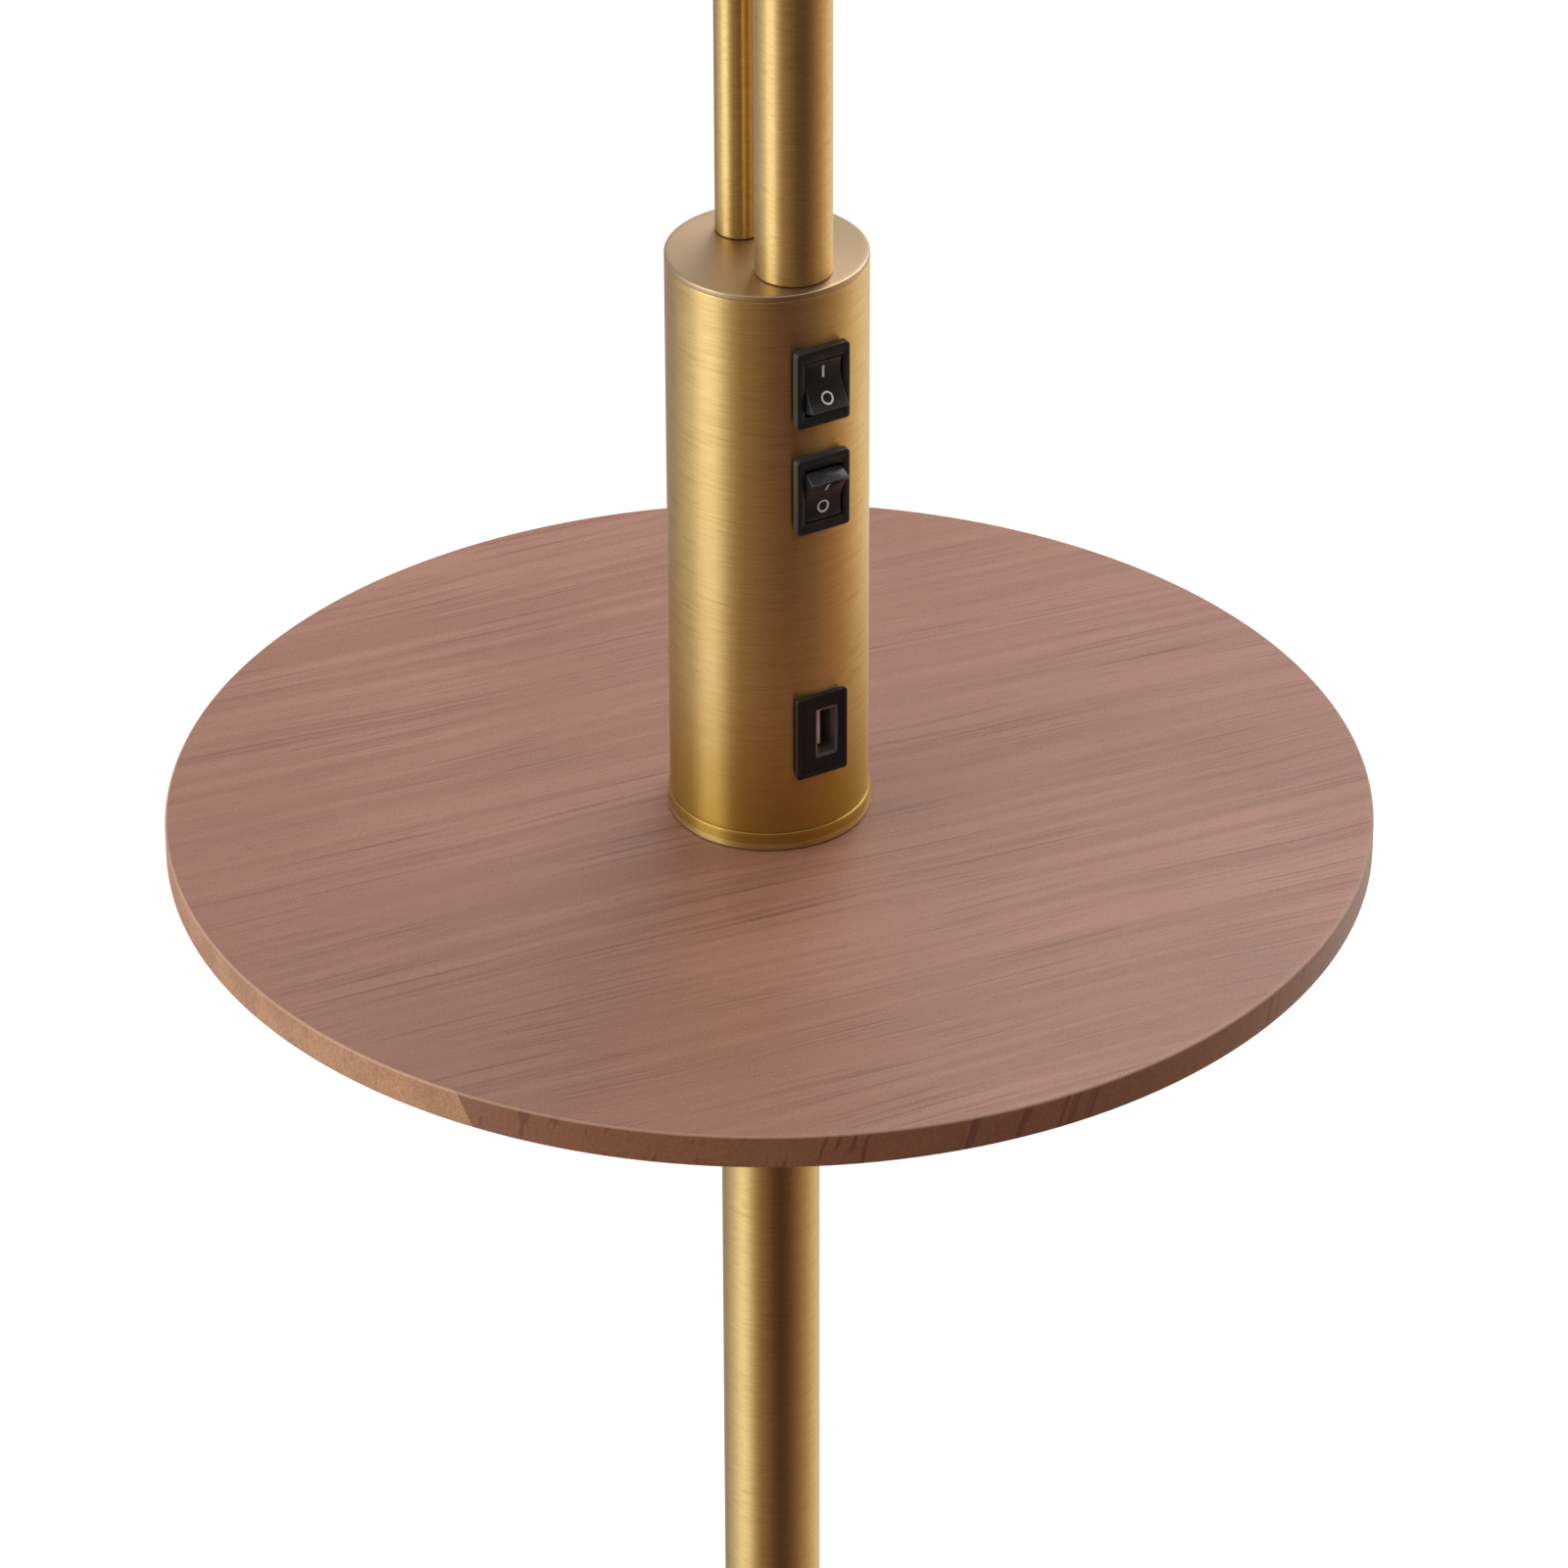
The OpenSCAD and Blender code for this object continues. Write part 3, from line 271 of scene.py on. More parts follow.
# A copy with its own mesh, moved by a matrix
def copyOf(piece, name, matrix):
    makeOnly(piece)
    bpy.ops.object.duplicate(linked=False)
    twin = rename(name)
    twin.matrix_world = matrix
    applyMoves()
    return twin


def dress(piece, material, body, slotName, *nodes):
    piece.data.materials.clear()
    piece.data.materials.append(material)
    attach(piece, body)
    if nodes:
        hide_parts(*nodes)


def dressBrass(piece, material, node, body="stand"):
    dress(piece, material, body, "brass", node)


# Material helpers

def putIn(tree, socket, value):
    if isinstance(value, bpy.types.NodeSocket):
        tree.links.new(value, socket)
    else:
        socket.default_value = value


def addNode(tree, kind, inputs=None, **settings):
    node = tree.nodes.new("ShaderNode" + kind)
    for key, value in settings.items():
        setattr(node, key, value)
    for socket, value in (inputs or {}).items():
        putIn(tree, node.inputs[socket], value)
    return node


def calc(tree, operation, a, b=0.0, c=0.0):
    return addNode(tree, "Math", {0: a, 1: b, 2: c}, operation=operation).outputs[0]


def times(tree, a, b):
    return calc(tree, "MULTIPLY", a, b)


def vectorCalc(tree, operation, a, b=(0, 0, 0)):
    node = addNode(tree, "VectorMath", {0: a, 1: b}, operation=operation)
    return node.outputs["Value" if operation == "LENGTH" else "Vector"]


def split(tree, vector):
    return addNode(tree, "SeparateXYZ", {0: vector}).outputs


def vectorOf(tree, x=0.0, y=0.0, z=0.0):
    return addNode(tree, "CombineXYZ", {0: x, 1: y, 2: z}).outputs[0]


def spread(tree, value, low, high, toLow=0.0, toHigh=1.0):
    inputs = {"Value": value, "From Min": low, "From Max": high, "To Min": toLow, "To Max": toHigh}
    return addNode(tree, "MapRange", inputs, interpolation_type="SMOOTHSTEP").outputs["Result"]


def noise(tree, vector, scale, detail=2.0, rough=0.5, twist=0.0):
    inputs = {"Vector": vector, "Scale": scale, "Detail": detail, "Roughness": rough, "Distortion": twist}
    return addNode(tree, "TexNoise", inputs).outputs["Fac"]


# Noise drawn out by its own scale along each axis
def stretched(tree, vector, scales, detail=2.0, rough=0.5):
    return noise(tree, vectorCalc(tree, "MULTIPLY", vector, scales), 1.0, detail, rough)


def blendColours(tree, factor, first, second, how="MIX"):
    node = addNode(tree, "Mix", data_type="RGBA", blend_type=how)
    for socket, value in ((0, factor), (6, first), (7, second)):
        putIn(tree, node.inputs[socket], (*value, 1) if isinstance(value, tuple) else value)
    return node.outputs[2]


# Lays colours over a first one, each through its own mask
def layered(tree, tint, *layers):
    for mask, colour in layers:
        tint = blendColours(tree, mask, tint, colour)
    return tint


def startGroup(name, ins, outs):
    group = bpy.data.node_groups.new(name, "ShaderNodeTree")
    for label, value in ins.items():
        kind = "NodeSocketVector" if value is None else "NodeSocketFloat"
        socket = group.interface.new_socket(name=label, in_out="INPUT", socket_type=kind)
        if value is not None:
            socket.default_value = value
    for label, kind in outs.items():
        group.interface.new_socket(name=label, in_out="OUTPUT", socket_type="NodeSocket" + kind)
    return group, group.nodes.new("NodeGroupInput").outputs, group.nodes.new("NodeGroupOutput").inputs


def useGroup(tree, group, inputs):
    return addNode(tree, "Group", inputs, node_tree=group).outputs


def socketLabel(key):
    return "".join(" " + c if c.isupper() else c for c in key).title().replace("Ior", "IOR")


def startMaterial(name, **plain):
    material = bpy.data.materials.new(name)
    material.use_nodes = True
    tree = material.node_tree
    shader = tree.nodes["Principled BSDF"]
    for key, value in plain.items():
        shader.inputs[socketLabel(key)].default_value = value
    return material, tree, shader.inputs


def feed(tree, sockets, **values):
    for key, value in values.items():
        tree.links.new(value, sockets[socketLabel(key)])


# Object coordinates in millimetres, centred and turned to a piece's own axis
def placeFrom(tree, centre=(0, 0, 0), rotate=(0, 0, 0)):
    coords = addNode(tree, "TexCoord").outputs["Object"]
    moved = vectorCalc(tree, "ADD", coords, tuple(-c * mm for c in centre))
    turned = tuple(math.radians(r) for r in rotate)
    inputs = {"Vector": moved, "Rotation": turned, "Scale": (1 / mm,) * 3}
    return addNode(tree, "Mapping", inputs, vector_type="POINT").outputs[0]


def bump(tree, height, strength, depth):
    inputs = {"Height": height, "Strength": strength, "Distance": depth * mm}
    return addNode(tree, "Bump", inputs).outputs["Normal"]


# Fine lines that run round a turned piece, as a brushing belt leaves them
brushLines, given, result = startGroup(
    "brushLines", {"Vector": None, "Fineness": 4.0, "Length": 3.0},
    {"Fine": "Float", "Broad": "Float", "Cloud": "Float"})
parts = split(brushLines, given["Vector"])
flat = vectorOf(brushLines, parts[0], parts[1])
outward = vectorCalc(brushLines, "NORMALIZE", flat)
arc = addNode(brushLines, "VectorMath", {0: outward, "Scale": given["Length"]},
              operation="SCALE").outputs[0]
slope = calc(brushLines, "MULTIPLY_ADD", vectorCalc(brushLines, "LENGTH", flat), 0.83, parts[2])
lifted = vectorOf(brushLines, z=times(brushLines, slope, given["Fineness"]))
lines = vectorCalc(brushLines, "ADD", arc, lifted)
feed(brushLines, result, fine=noise(brushLines, lines, 1.0, 4.0, 0.7),
     broad=stretched(brushLines, lines, (0.55, 0.55, 0.17)),
     cloud=noise(brushLines, given["Vector"], 0.035, 3.0, 0.55))

# Edges that hands and cloths have rubbed, lighter where the surface turns outward: partly wear, partly a
# painted edge highlight
edgeWearAndGlint, given, result = startGroup("edgeWearAndGlint", {"Amount": 1.0, "Vector": None}, {"Mask": "Float"})
sharp = spread(edgeWearAndGlint, addNode(edgeWearAndGlint, "NewGeometry").outputs["Pointiness"], 0.51, 0.58)
patchy = spread(edgeWearAndGlint, noise(edgeWearAndGlint, given["Vector"], 0.1, 3.0), 0.28, 0.55, 0.35, 1.0)
feed(edgeWearAndGlint, result, mask=times(edgeWearAndGlint, times(edgeWearAndGlint, sharp, patchy), given["Amount"]))

# Fine dust and the faint smears that hands leave on smooth mouldings
handling, given, result = startGroup("handling", {"Vector": None}, {"Smear": "Float", "Dust": "Float"})
feed(handling, result,
     smear=spread(handling, noise(handling, given["Vector"], 0.12, 4.0, 0.6, 0.8), 0.42, 0.7),
     dust=spread(handling, noise(handling, given["Vector"], 3.2, 2.0, 0.6), 0.68, 0.76))

# Long wood grain along X: tone bands, broken growth lines, fibres, short pores and grit
woodGrain, given, result = startGroup("woodGrain", {"Vector": None}, {
    "Band": "Float", "Line": "Float", "Fibre": "Float", "Pore": "Float", "Grit": "Float", "Tone": "Float"})


def alongGrain(vector, along, across, detail, rough=0.55):
    return stretched(woodGrain, vector, (along, across, across), detail, rough)


sway = alongGrain(given["Vector"], 0.005, 0.011, 2.0)
parts = split(woodGrain, given["Vector"])
bent = vectorOf(woodGrain, parts[0], calc(woodGrain, "MULTIPLY_ADD", sway, 16.0, parts[1]), parts[2])
comes = spread(woodGrain, alongGrain(bent, 0.02, 0.06, 1.0), 0.35, 0.6)
thinLine = spread(woodGrain, alongGrain(bent, 0.012, 1.0, 3.0, 0.6), 0.5, 0.7)
feed(woodGrain, result, band=alongGrain(bent, 0.004, 0.22, 4.0, 0.65),
     line=times(woodGrain, thinLine, comes), fibre=alongGrain(bent, 0.05, 2.2, 4.0, 0.65),
     pore=spread(woodGrain, alongGrain(bent, 0.17, 2.6, 2.0), 0.6, 0.7),
     grit=noise(woodGrain, given["Vector"], 1.5, 3.0, 0.7), tone=noise(woodGrain, given["Vector"], 0.011))


def edgeGlintMask(tree, place, amount):
    return useGroup(tree, edgeWearAndGlint, {"Amount": amount, "Vector": place})["Mask"]


# Among these colours, the pale edge tone is partly a painted highlight, the dark joint tone partly a painted
# contact shadow, and the warm tone low on the column a painted bounce of light from the shelf.
brass = {
    "colour": (0.72, 0.53, 0.225), "deep": (0.57, 0.385, 0.135), "glintWear": (0.95, 0.80, 0.50),
    "roughness": 0.36, "fineness": 4.0, "lineLength": 3.0, "anisotropic": 0.9, "turn": 0.25,
    "residueAndShade": (0.10, 0.055, 0.02), "warmBounce": (0.50, 0.31, 0.045), "warmBounceFrom": 622, "warmBounceTo": 672,
}


# Brass brushed round the given axis. Small flat parts are more even, with less brushing in their shine.
def brassMaterial(name, centre=(0, 0, 0), rotate=(0, 0, 0), even=0.0, joints=(), aged=False, light=None):
    brushed = brass["anisotropic"] * (1 - even)
    material, tree, shader = startMaterial(name, metallic=1.0, anisotropic=brushed,
                                           anisotropicRotation=brass["turn"])
    place = placeFrom(tree, centre, rotate)
    marks = useGroup(tree, brushLines, {"Vector": place, "Fineness": brass["fineness"],
                                        "Length": brass["lineLength"]})
    mottled = calc(tree, "MULTIPLY_ADD", marks["Fine"], 0.8, times(tree, marks["Broad"], 0.2))
    tone = spread(tree, mottled, 0.3, 0.6, even * 0.6, 1 - even * 0.3)
    colour = blendColours(tree, tone, brass["deep"], light or brass["colour"])
    if aged:  # painted warm bounce of light from the shelf's wood, low on the column
        low = split(tree, place)[2]
        warmBounce = spread(tree, low, brass["warmBounceFrom"], brass["warmBounceTo"], 0.8, 0.0)
        warmBounce = times(tree, warmBounce, calc(tree, "GREATER_THAN", low, brass["warmBounceFrom"]))
        colour = blendColours(tree, warmBounce, colour, brass["warmBounce"])
    # pale edges: partly polish wear, partly a painted edge highlight
    colour = blendColours(tree, edgeGlintMask(tree, place, 0.75), colour, brass["glintWear"])
    for joint in joints:  # dark line where two pieces meet: partly polish residue, partly a painted contact shadow
        gap = calc(tree, "ABSOLUTE", calc(tree, "SUBTRACT", split(tree, place)[2], joint))
        colour = blendColours(tree, spread(tree, gap, 0.2, 0.55, 0.8, 0.0), colour, brass["residueAndShade"])
    clouded = calc(tree, "MULTIPLY_ADD", marks["Cloud"], 0.06, brass["roughness"] - 0.03)
    rough = calc(tree, "MULTIPLY_ADD", marks["Fine"], 0.08, clouded)
    relief = calc(tree, "MULTIPLY_ADD", marks["Broad"], 0.25, marks["Fine"])
    feed(tree, shader, baseColor=colour, roughness=rough, normal=bump(tree, relief, 0.38, 0.008))
    return material


def plasticMaterial(name, colour, roughness, grain=0.0, coat=0.0, smearTo=0.12, shine=0.5):
    material, tree, shader = startMaterial(name, coatWeight=coat, coatRoughness=0.08,
                                           specularIorLevel=shine)
    place = placeFrom(tree)
    marks = useGroup(tree, handling, {"Vector": place})
    lighter = tuple(min(1.0, c * 1.25 + 0.012) for c in colour)
    glintWear = tuple(min(1.0, c + 0.4) for c in colour)
    # random tone, dust, and lighter edges that are partly wear and partly a painted edge highlight
    tint = layered(tree, colour, (noise(tree, place, 0.3, 3.0), lighter),
                   (times(tree, marks["Dust"], 0.1), (0.35, 0.34, 0.32)),
                   (edgeGlintMask(tree, place, 0.12), glintWear))
    rough = calc(tree, "MULTIPLY_ADD", marks["Smear"], smearTo, roughness)
    skin = noise(tree, place, 6.0)
    feed(tree, shader, baseColor=tint, roughness=rough,
         normal=bump(tree, skin, 0.1 + grain, 0.01 + 0.03 * grain))
    return material


def steelMaterial(name, colour, roughness):
    material, tree, shader = startMaterial(name, metallic=1.0)
    place = placeFrom(tree)
    blotch = noise(tree, place, 0.25, 4.0, 0.6)
    # blotches, and pale edges that are partly wear and partly a painted edge highlight
    tint = layered(tree, tuple(c * 0.72 for c in colour), (spread(tree, blotch, 0.3, 0.7), colour),
                   (edgeGlintMask(tree, place, 0.6), (0.9, 0.89, 0.86)))
    marks = useGroup(tree, brushLines, {"Vector": place, "Fineness": 3.0, "Length": 2.0})
    feed(tree, shader, baseColor=tint, roughness=calc(tree, "MULTIPLY_ADD", blotch, 0.14, roughness),
         normal=bump(tree, marks["Fine"], 0.15, 0.015))
    return material


brassAxis = brassMaterial("brassAxis", joints=(22, 320, 599, 620), aged=True)
# The cap's paler, pinker brass tone is a painted reflection of the pale room in its flat top.
brassCap = brassMaterial("brassCap", even=0.7, light=(0.52, 0.40, 0.305))
brassMain = brassMaterial("brassMain", (0, -12.7, 0), joints=(776, 1040, 1296))
brassThin = brassMaterial("brassThin", (0, 12.7, 0), joints=(776, 1130))
brassArm = brassMaterial("brassArm", (0, 12.7, 1146.3), (0, 90, 0))
brassTilt = brassMaterial("brassTilt", (200, 0, 1146.3), (90, 0, 0), 0.75)
brassHead = brassMaterial("brassHead", (200, 12.7, 0))
brassStem = brassMaterial("brassStem", (200, 12.7, 0), even=0.75)
blackGloss = plasticMaterial("blackGloss", (0.008, 0.010, 0.014), 0.18, coat=0.15, shine=0.3)
blackRocker = plasticMaterial("blackRocker", (0.009, 0.011, 0.015), 0.22, coat=0.1, shine=0.28)
portBlack = plasticMaterial("portBlack", (0.007, 0.007, 0.008), 0.3, grain=0.05, smearTo=0.1, shine=0.2)
blackSatin = plasticMaterial("blackSatin", (0.014, 0.014, 0.015), 0.33, grain=0.15)
greyMatt = plasticMaterial("greyMatt", (0.2, 0.2, 0.21), 0.5, grain=0.25)
whiteMatt = plasticMaterial("whiteMatt", (0.8, 0.8, 0.78), 0.42, grain=0.1)
markWhite = plasticMaterial("markWhite", (0.82, 0.82, 0.8), 0.4)
phenolic = plasticMaterial("phenolic", (0.026, 0.022, 0.02), 0.3, grain=0.1, coat=0.2)
insulation = plasticMaterial("insulation", (0.84, 0.83, 0.8), 0.4, grain=0.1)
wireWhite = plasticMaterial("wireWhite", (0.80, 0.79, 0.76), 0.4, grain=0.2)
linerFilm = plasticMaterial("linerFilm", (0.84, 0.83, 0.79), 0.55, grain=0.15)
zincSteel = steelMaterial("zincSteel", (0.62, 0.62, 0.60), 0.28)
nickel = steelMaterial("nickel", (0.75, 0.74, 0.71), 0.13)
jackSteel = steelMaterial("jackSteel", (0.45, 0.45, 0.44), 0.34)
contactBrass = steelMaterial("contactBrass", (0.80, 0.60, 0.28), 0.2)
goldPlate = steelMaterial("goldPlate", (0.95, 0.72, 0.32), 0.14)

# Shelf wood: straight grain across the top; the edge is pale on its back and left half and dark brown on its
# front and right half
wood = {
    "light": (0.51, 0.258, 0.19), "dark": (0.36, 0.165, 0.112), "line": (0.17, 0.07, 0.048),
    "grainTurn": 7.5, "edgeFrom": 151.85, "topEdge": 619.2, "edgeTop": (0.70, 0.47, 0.35),
    "paleHalf": (0.70, 0.37, 0.19), "paleShade": (0.38, 0.165, 0.075),
    "darkHalf": (0.34, 0.135, 0.07), "brownShade": (0.19, 0.068, 0.036),
    "jointAt": 210.7, "jointFrom": 308.6, "jointTo": 309.0,  # where the pale and the dark half meet, on a slant
}
walnut, tree, shader = startMaterial("walnut", coatWeight=0.22, coatRoughness=0.34)
grain = useGroup(tree, woodGrain, {"Vector": placeFrom(tree, (40, -400, 0), (0, 0, wood["grainTurn"]))})
tint = blendColours(tree, spread(tree, grain["Tone"], 0.3, 0.7, 0.25, 0.75), wood["dark"], wood["light"])
tint = layered(
    tree, tint, (spread(tree, grain["Band"], 0.38, 0.62, 0.0, 0.85), wood["dark"]),
    (spread(tree, grain["Fibre"], 0.35, 0.7, 0.0, 0.28), wood["dark"]),
    (times(tree, grain["Line"], 0.68), wood["line"]), (times(tree, grain["Pore"], 0.4), wood["line"]),
    (spread(tree, grain["Grit"], 0.3, 0.62, 0.2, 0.0), wood["line"]),
    (spread(tree, grain["Grit"], 0.5, 0.8, 0.0, 0.22), wood["edgeTop"]))
place = placeFrom(tree)
parts = split(tree, place)
rim = spread(tree, vectorCalc(tree, "LENGTH", vectorOf(tree, parts[0], parts[1])),
             wood["edgeFrom"], wood["edgeFrom"] + 0.35)
leaned = vectorOf(tree, calc(tree, "MULTIPLY_ADD", parts[2], -0.35, parts[0]), parts[1])
strokes = spread(tree, noise(tree, leaned, 0.3, 2.0, 0.6), 0.57, 0.64)
speckle = spread(tree, noise(tree, place, 1.2, 3.0, 0.65), 0.38, 0.62)
cloudy = spread(tree, noise(tree, place, 0.06, 3.0, 0.6), 0.35, 0.65)
pale = layered(tree, wood["paleHalf"], (times(tree, speckle, 0.5), wood["paleShade"]),
               (times(tree, cloudy, 0.45), wood["paleShade"]),
               (times(tree, strokes, 0.25), wood["paleShade"]))
brown = layered(tree, wood["darkHalf"], (times(tree, speckle, 0.4), wood["brownShade"]),
                (times(tree, strokes, 0.85), wood["brownShade"]))
joint = math.radians(wood["jointAt"])
across = calc(tree, "ADD", times(tree, parts[0], -math.sin(joint)), times(tree, parts[1], math.cos(joint)))
slanted = calc(tree, "MULTIPLY_ADD", parts[2], 0.5, across)
pastJoint = spread(tree, slanted, wood["jointFrom"], wood["jointTo"])
# painted highlight along the rounded top edge of the rim
rimHighlight = spread(tree, parts[2], wood["topEdge"], wood["topEdge"] + 0.5, 0.0, 0.55)
rimTint = layered(tree, pale, (pastJoint, brown), (rimHighlight, wood["edgeTop"]))
relief = calc(tree, "MULTIPLY_ADD", grain["Pore"], -0.8, times(tree, grain["Fibre"], 0.5))
relief = calc(tree, "MULTIPLY_ADD", grain["Grit"], 0.7, relief)
feed(tree, shader, baseColor=blendColours(tree, rim, tint, rimTint),
     roughness=calc(tree, "MULTIPLY_ADD", grain["Fibre"], 0.16, 0.36), normal=bump(tree, relief, 0.3, 0.03))


# Linen on the drum shade, woven over the UV map in millimetres
def linenMaterial(name, colour, gap, pitch):
    material, tree, shader = startMaterial(name, sheenWeight=0.25, sheenRoughness=0.5)
    uv = addNode(tree, "TexCoord").outputs["UV"]
    u, v, _ = split(tree, uv)
    sag, lean = stretched(tree, uv, (0.12, 0.9, 0)), stretched(tree, uv, (0.9, 0.12, 0))
    warp, weft = (
        calc(tree, "SINE", times(tree, calc(tree, "MULTIPLY_ADD", strays, 0.5, along), math.pi / pitch))
        for strays, along in ((lean, u), (sag, v)))
    over = spread(tree, times(tree, warp, weft), -0.6, 0.6)
    weave = calc(tree, "ADD", times(tree, calc(tree, "ABSOLUTE", warp), over),
                 times(tree, calc(tree, "ABSOLUTE", weft), calc(tree, "SUBTRACT", 1.0, over)))
    slubs = calc(tree, "MAXIMUM", spread(tree, sag, 0.6, 0.8), spread(tree, lean, 0.62, 0.8))
    # Single threads a little darker than their neighbours, along both ways of the cloth
    threads = calc(tree, "ADD", stretched(tree, uv, (0.03, 0.95, 0)), stretched(tree, uv, (0.95, 0.03, 0)))
    tint = layered(tree, gap, (spread(tree, weave, 0.1, 0.75), colour),
                   (times(tree, slubs, 0.4), tuple(c * 0.74 for c in colour)),
                   (spread(tree, threads, 0.75, 1.25, 0.34, 0.0), tuple(c * 0.7 for c in colour)))
    feed(tree, shader, baseColor=tint, roughness=calc(tree, "MULTIPLY_ADD", weave, -0.12, 0.92),
         normal=bump(tree, calc(tree, "MULTIPLY_ADD", slubs, 0.4, weave), 0.55, 0.15))
    return material


linenCloth = linenMaterial("linenCloth", (0.93, 0.89, 0.81), (0.80, 0.74, 0.64), 0.72)
linenTape = linenMaterial("linenTape", (0.86, 0.81, 0.71), (0.66, 0.59, 0.48), 0.5)

castIron, tree, shader = startMaterial("castIron")
place = placeFrom(tree)
grit = noise(tree, place, 0.9, 6.0, 0.7)
rust = spread(tree, noise(tree, place, 0.07, 5.0, 0.6), 0.6, 0.8, 0.0, 0.5)
tint = layered(tree, (0.012, 0.012, 0.013), (grit, (0.03, 0.029, 0.028)), (rust, (0.09, 0.045, 0.03)))
feed(tree, shader, baseColor=tint, roughness=calc(tree, "MULTIPLY_ADD", grit, 0.25, 0.5),
     normal=bump(tree, grit, 0.6, 0.4))

rubberPad, tree, shader = startMaterial("rubberPad")
felt = noise(tree, placeFrom(tree), 1.6, 6.0, 0.75, 0.5)
tint = blendColours(tree, felt, (0.010, 0.010, 0.011), (0.028, 0.027, 0.026))
feed(tree, shader, baseColor=tint, roughness=calc(tree, "MULTIPLY_ADD", felt, 0.15, 0.8),
     normal=bump(tree, felt, 0.7, 0.25))

opalGlass, tree, shader = startMaterial("opalGlass", coatWeight=0.3, coatRoughness=0.12, ior=1.5)
place = placeFrom(tree)
milk = noise(tree, place, 0.05, 3.0)
tint = blendColours(tree, milk, (0.86, 0.85, 0.82), (0.93, 0.92, 0.89))
feed(tree, shader, baseColor=tint, roughness=calc(tree, "MULTIPLY_ADD", milk, 0.08, 0.26),
     normal=bump(tree, noise(tree, place, 0.5), 0.05, 0.05))
print("materials ready:", len(bpy.data.materials))

# Base: felt pad, round cover over the iron weight, collar and cord gland
base = {"radius": 140, "top": 22, "edge": 7, "wall": 1.2, "lift": 1, "padRadius": 128, "padHeight": 2.5,
        "collarRadius": 22, "collarBore": 12.75, "collarHeight": 8, "glandHeight": 8.5, "glandHole": 4.65}
poleHole = 5.2
pad = turnedPiece("basePad", ringOutline(0, base["padRadius"], 0, base["padHeight"], 0.4, 0.8))
dress(pad, rubberPad, "stand", "floor_pad", "floor_pad")
inner, under = base["radius"] - base["wall"], base["top"] - base["wall"]
cover = turnedPiece("baseCover", [
    (poleHole, under), (inner, under, base["edge"] - base["wall"]), (inner, base["lift"], 0.3),
    (base["radius"], base["lift"], 0.5), (base["radius"], base["top"], base["edge"]),
    (poleHole, base["top"])], steps=160)
combine(cover, turnedPiece("glandHole", ringOutline(0, base["glandHole"], 0, 8),
                           (0, base["radius"] - 5, base["glandHeight"]), "Y", 48))
smoothBy(cover)
dressBrass(cover, brassAxis, "base_cover")
gland = {"bore": 3.3, "body": 4.6, "lip": 5.2, "flange": 6.2, "lipFrom": 137, "lipTo": 138.5, "end": 141.5}
glandPiece = turnedPiece("cordGland", [
    (gland["bore"], gland["lipFrom"]), (gland["lip"], gland["lipFrom"], 0.4),
    (gland["lip"], gland["lipTo"], 0.2), (gland["body"], gland["lipTo"]), (gland["body"], base["radius"]),
    (gland["flange"], base["radius"]), (gland["flange"], gland["end"], 0.7),
    (gland["bore"], gland["end"], 0.6)], (0, 0, base["glandHeight"]), "Y", 64)
dress(glandPiece, blackSatin, "stand", "black_plastic", "cord_gland")
collarTop = base["top"] + base["collarHeight"]
collar = turnedPiece("poleCollar", [
    (base["collarBore"], base["top"]), (base["collarRadius"], base["top"], 0.3),
    (base["collarRadius"], collarTop, 2), (base["collarBore"], collarTop, 0.3)])
dressBrass(collar, brassAxis, "pole_collar")
print("base done")

# Lower pole in two lengths, its flange and the screws under the shelf
pole = {"radius": 12.7, "wall": 1.2, "foot": 22, "joint": 320, "top": 599}
lowerTube = tubePiece("poleLower", pole["radius"], pole["wall"], pole["foot"], pole["joint"])
dressBrass(lowerTube, brassAxis, "pole_lower_tube")
upperTube = tubePiece("poleUpper", pole["radius"], pole["wall"], pole["joint"], pole["top"])
dressBrass(upperTube, brassAxis, "pole_upper_tube")

shelf = {"radius": 152.5, "bottom": 611, "top": 620, "edge": 0.7, "flangeRadius": 45, "flangeBottom": 608,
         "hubRadius": 17, "screwCircle": 33}
flange = turnedPiece("shelfFlange", [
    (poleHole, pole["top"]), (shelf["hubRadius"], pole["top"], 1.2),
    (shelf["hubRadius"], shelf["flangeBottom"], 1.0), (shelf["flangeRadius"], shelf["flangeBottom"], 0.9),
    (shelf["flangeRadius"], shelf["bottom"]), (poleHole, shelf["bottom"])])
dressBrass(flange, brassAxis, "shelf_flange")


# Pan head screw with a cross recess, drawn on its own Z with the head at the top, and set at each place
def screwSet(name, node, head, headHeight, shank, length, places):
    screw = turnedPiece(name, [
        (0, -length), (shank, -length, 0.3), (shank, 0), (head, 0, 0.1),
        (head, headHeight, headHeight * 0.45), (0, headHeight)], steps=40)
    long, thin = head * 0.62, head * 0.14
    for x, y in ((thin, long), (long, thin)):
        combine(screw, block("recess", (-x, -y, headHeight * 0.4), (x, y, headHeight + 1)))
    smoothBy(screw)
    screws = [copyOf(screw, name + str(k), place) for k, place in enumerate(places)]
    bpy.data.objects.remove(screw)
    dress(joinTogether(name + "s", screws), zincSteel, "stand", "zinc_steel", node)


places = []
for k in range(4):
    angle = math.radians(45 + 90 * k)
    spot = Vector((math.cos(angle), math.sin(angle), 0)) * shelf["screwCircle"]
    spot.z = shelf["flangeBottom"]
    places.append(Matrix.Translation(spot * mm) @ Matrix.Rotation(math.pi, 4, "X")
                  @ Matrix.Rotation(0.7 * k, 4, "Z"))
screwSet("shelfScrew", "shelf_screws", head=4, headHeight=2, shank=2, length=10, places=places)

board = turnedPiece("shelfBoard", ringOutline(
    poleHole, shelf["radius"], shelf["bottom"], shelf["top"], shelf["edge"], shelf["edge"]), steps=192)
dress(board, walnut, "stand", "walnut", "shelf_board")
print("pole and shelf done")

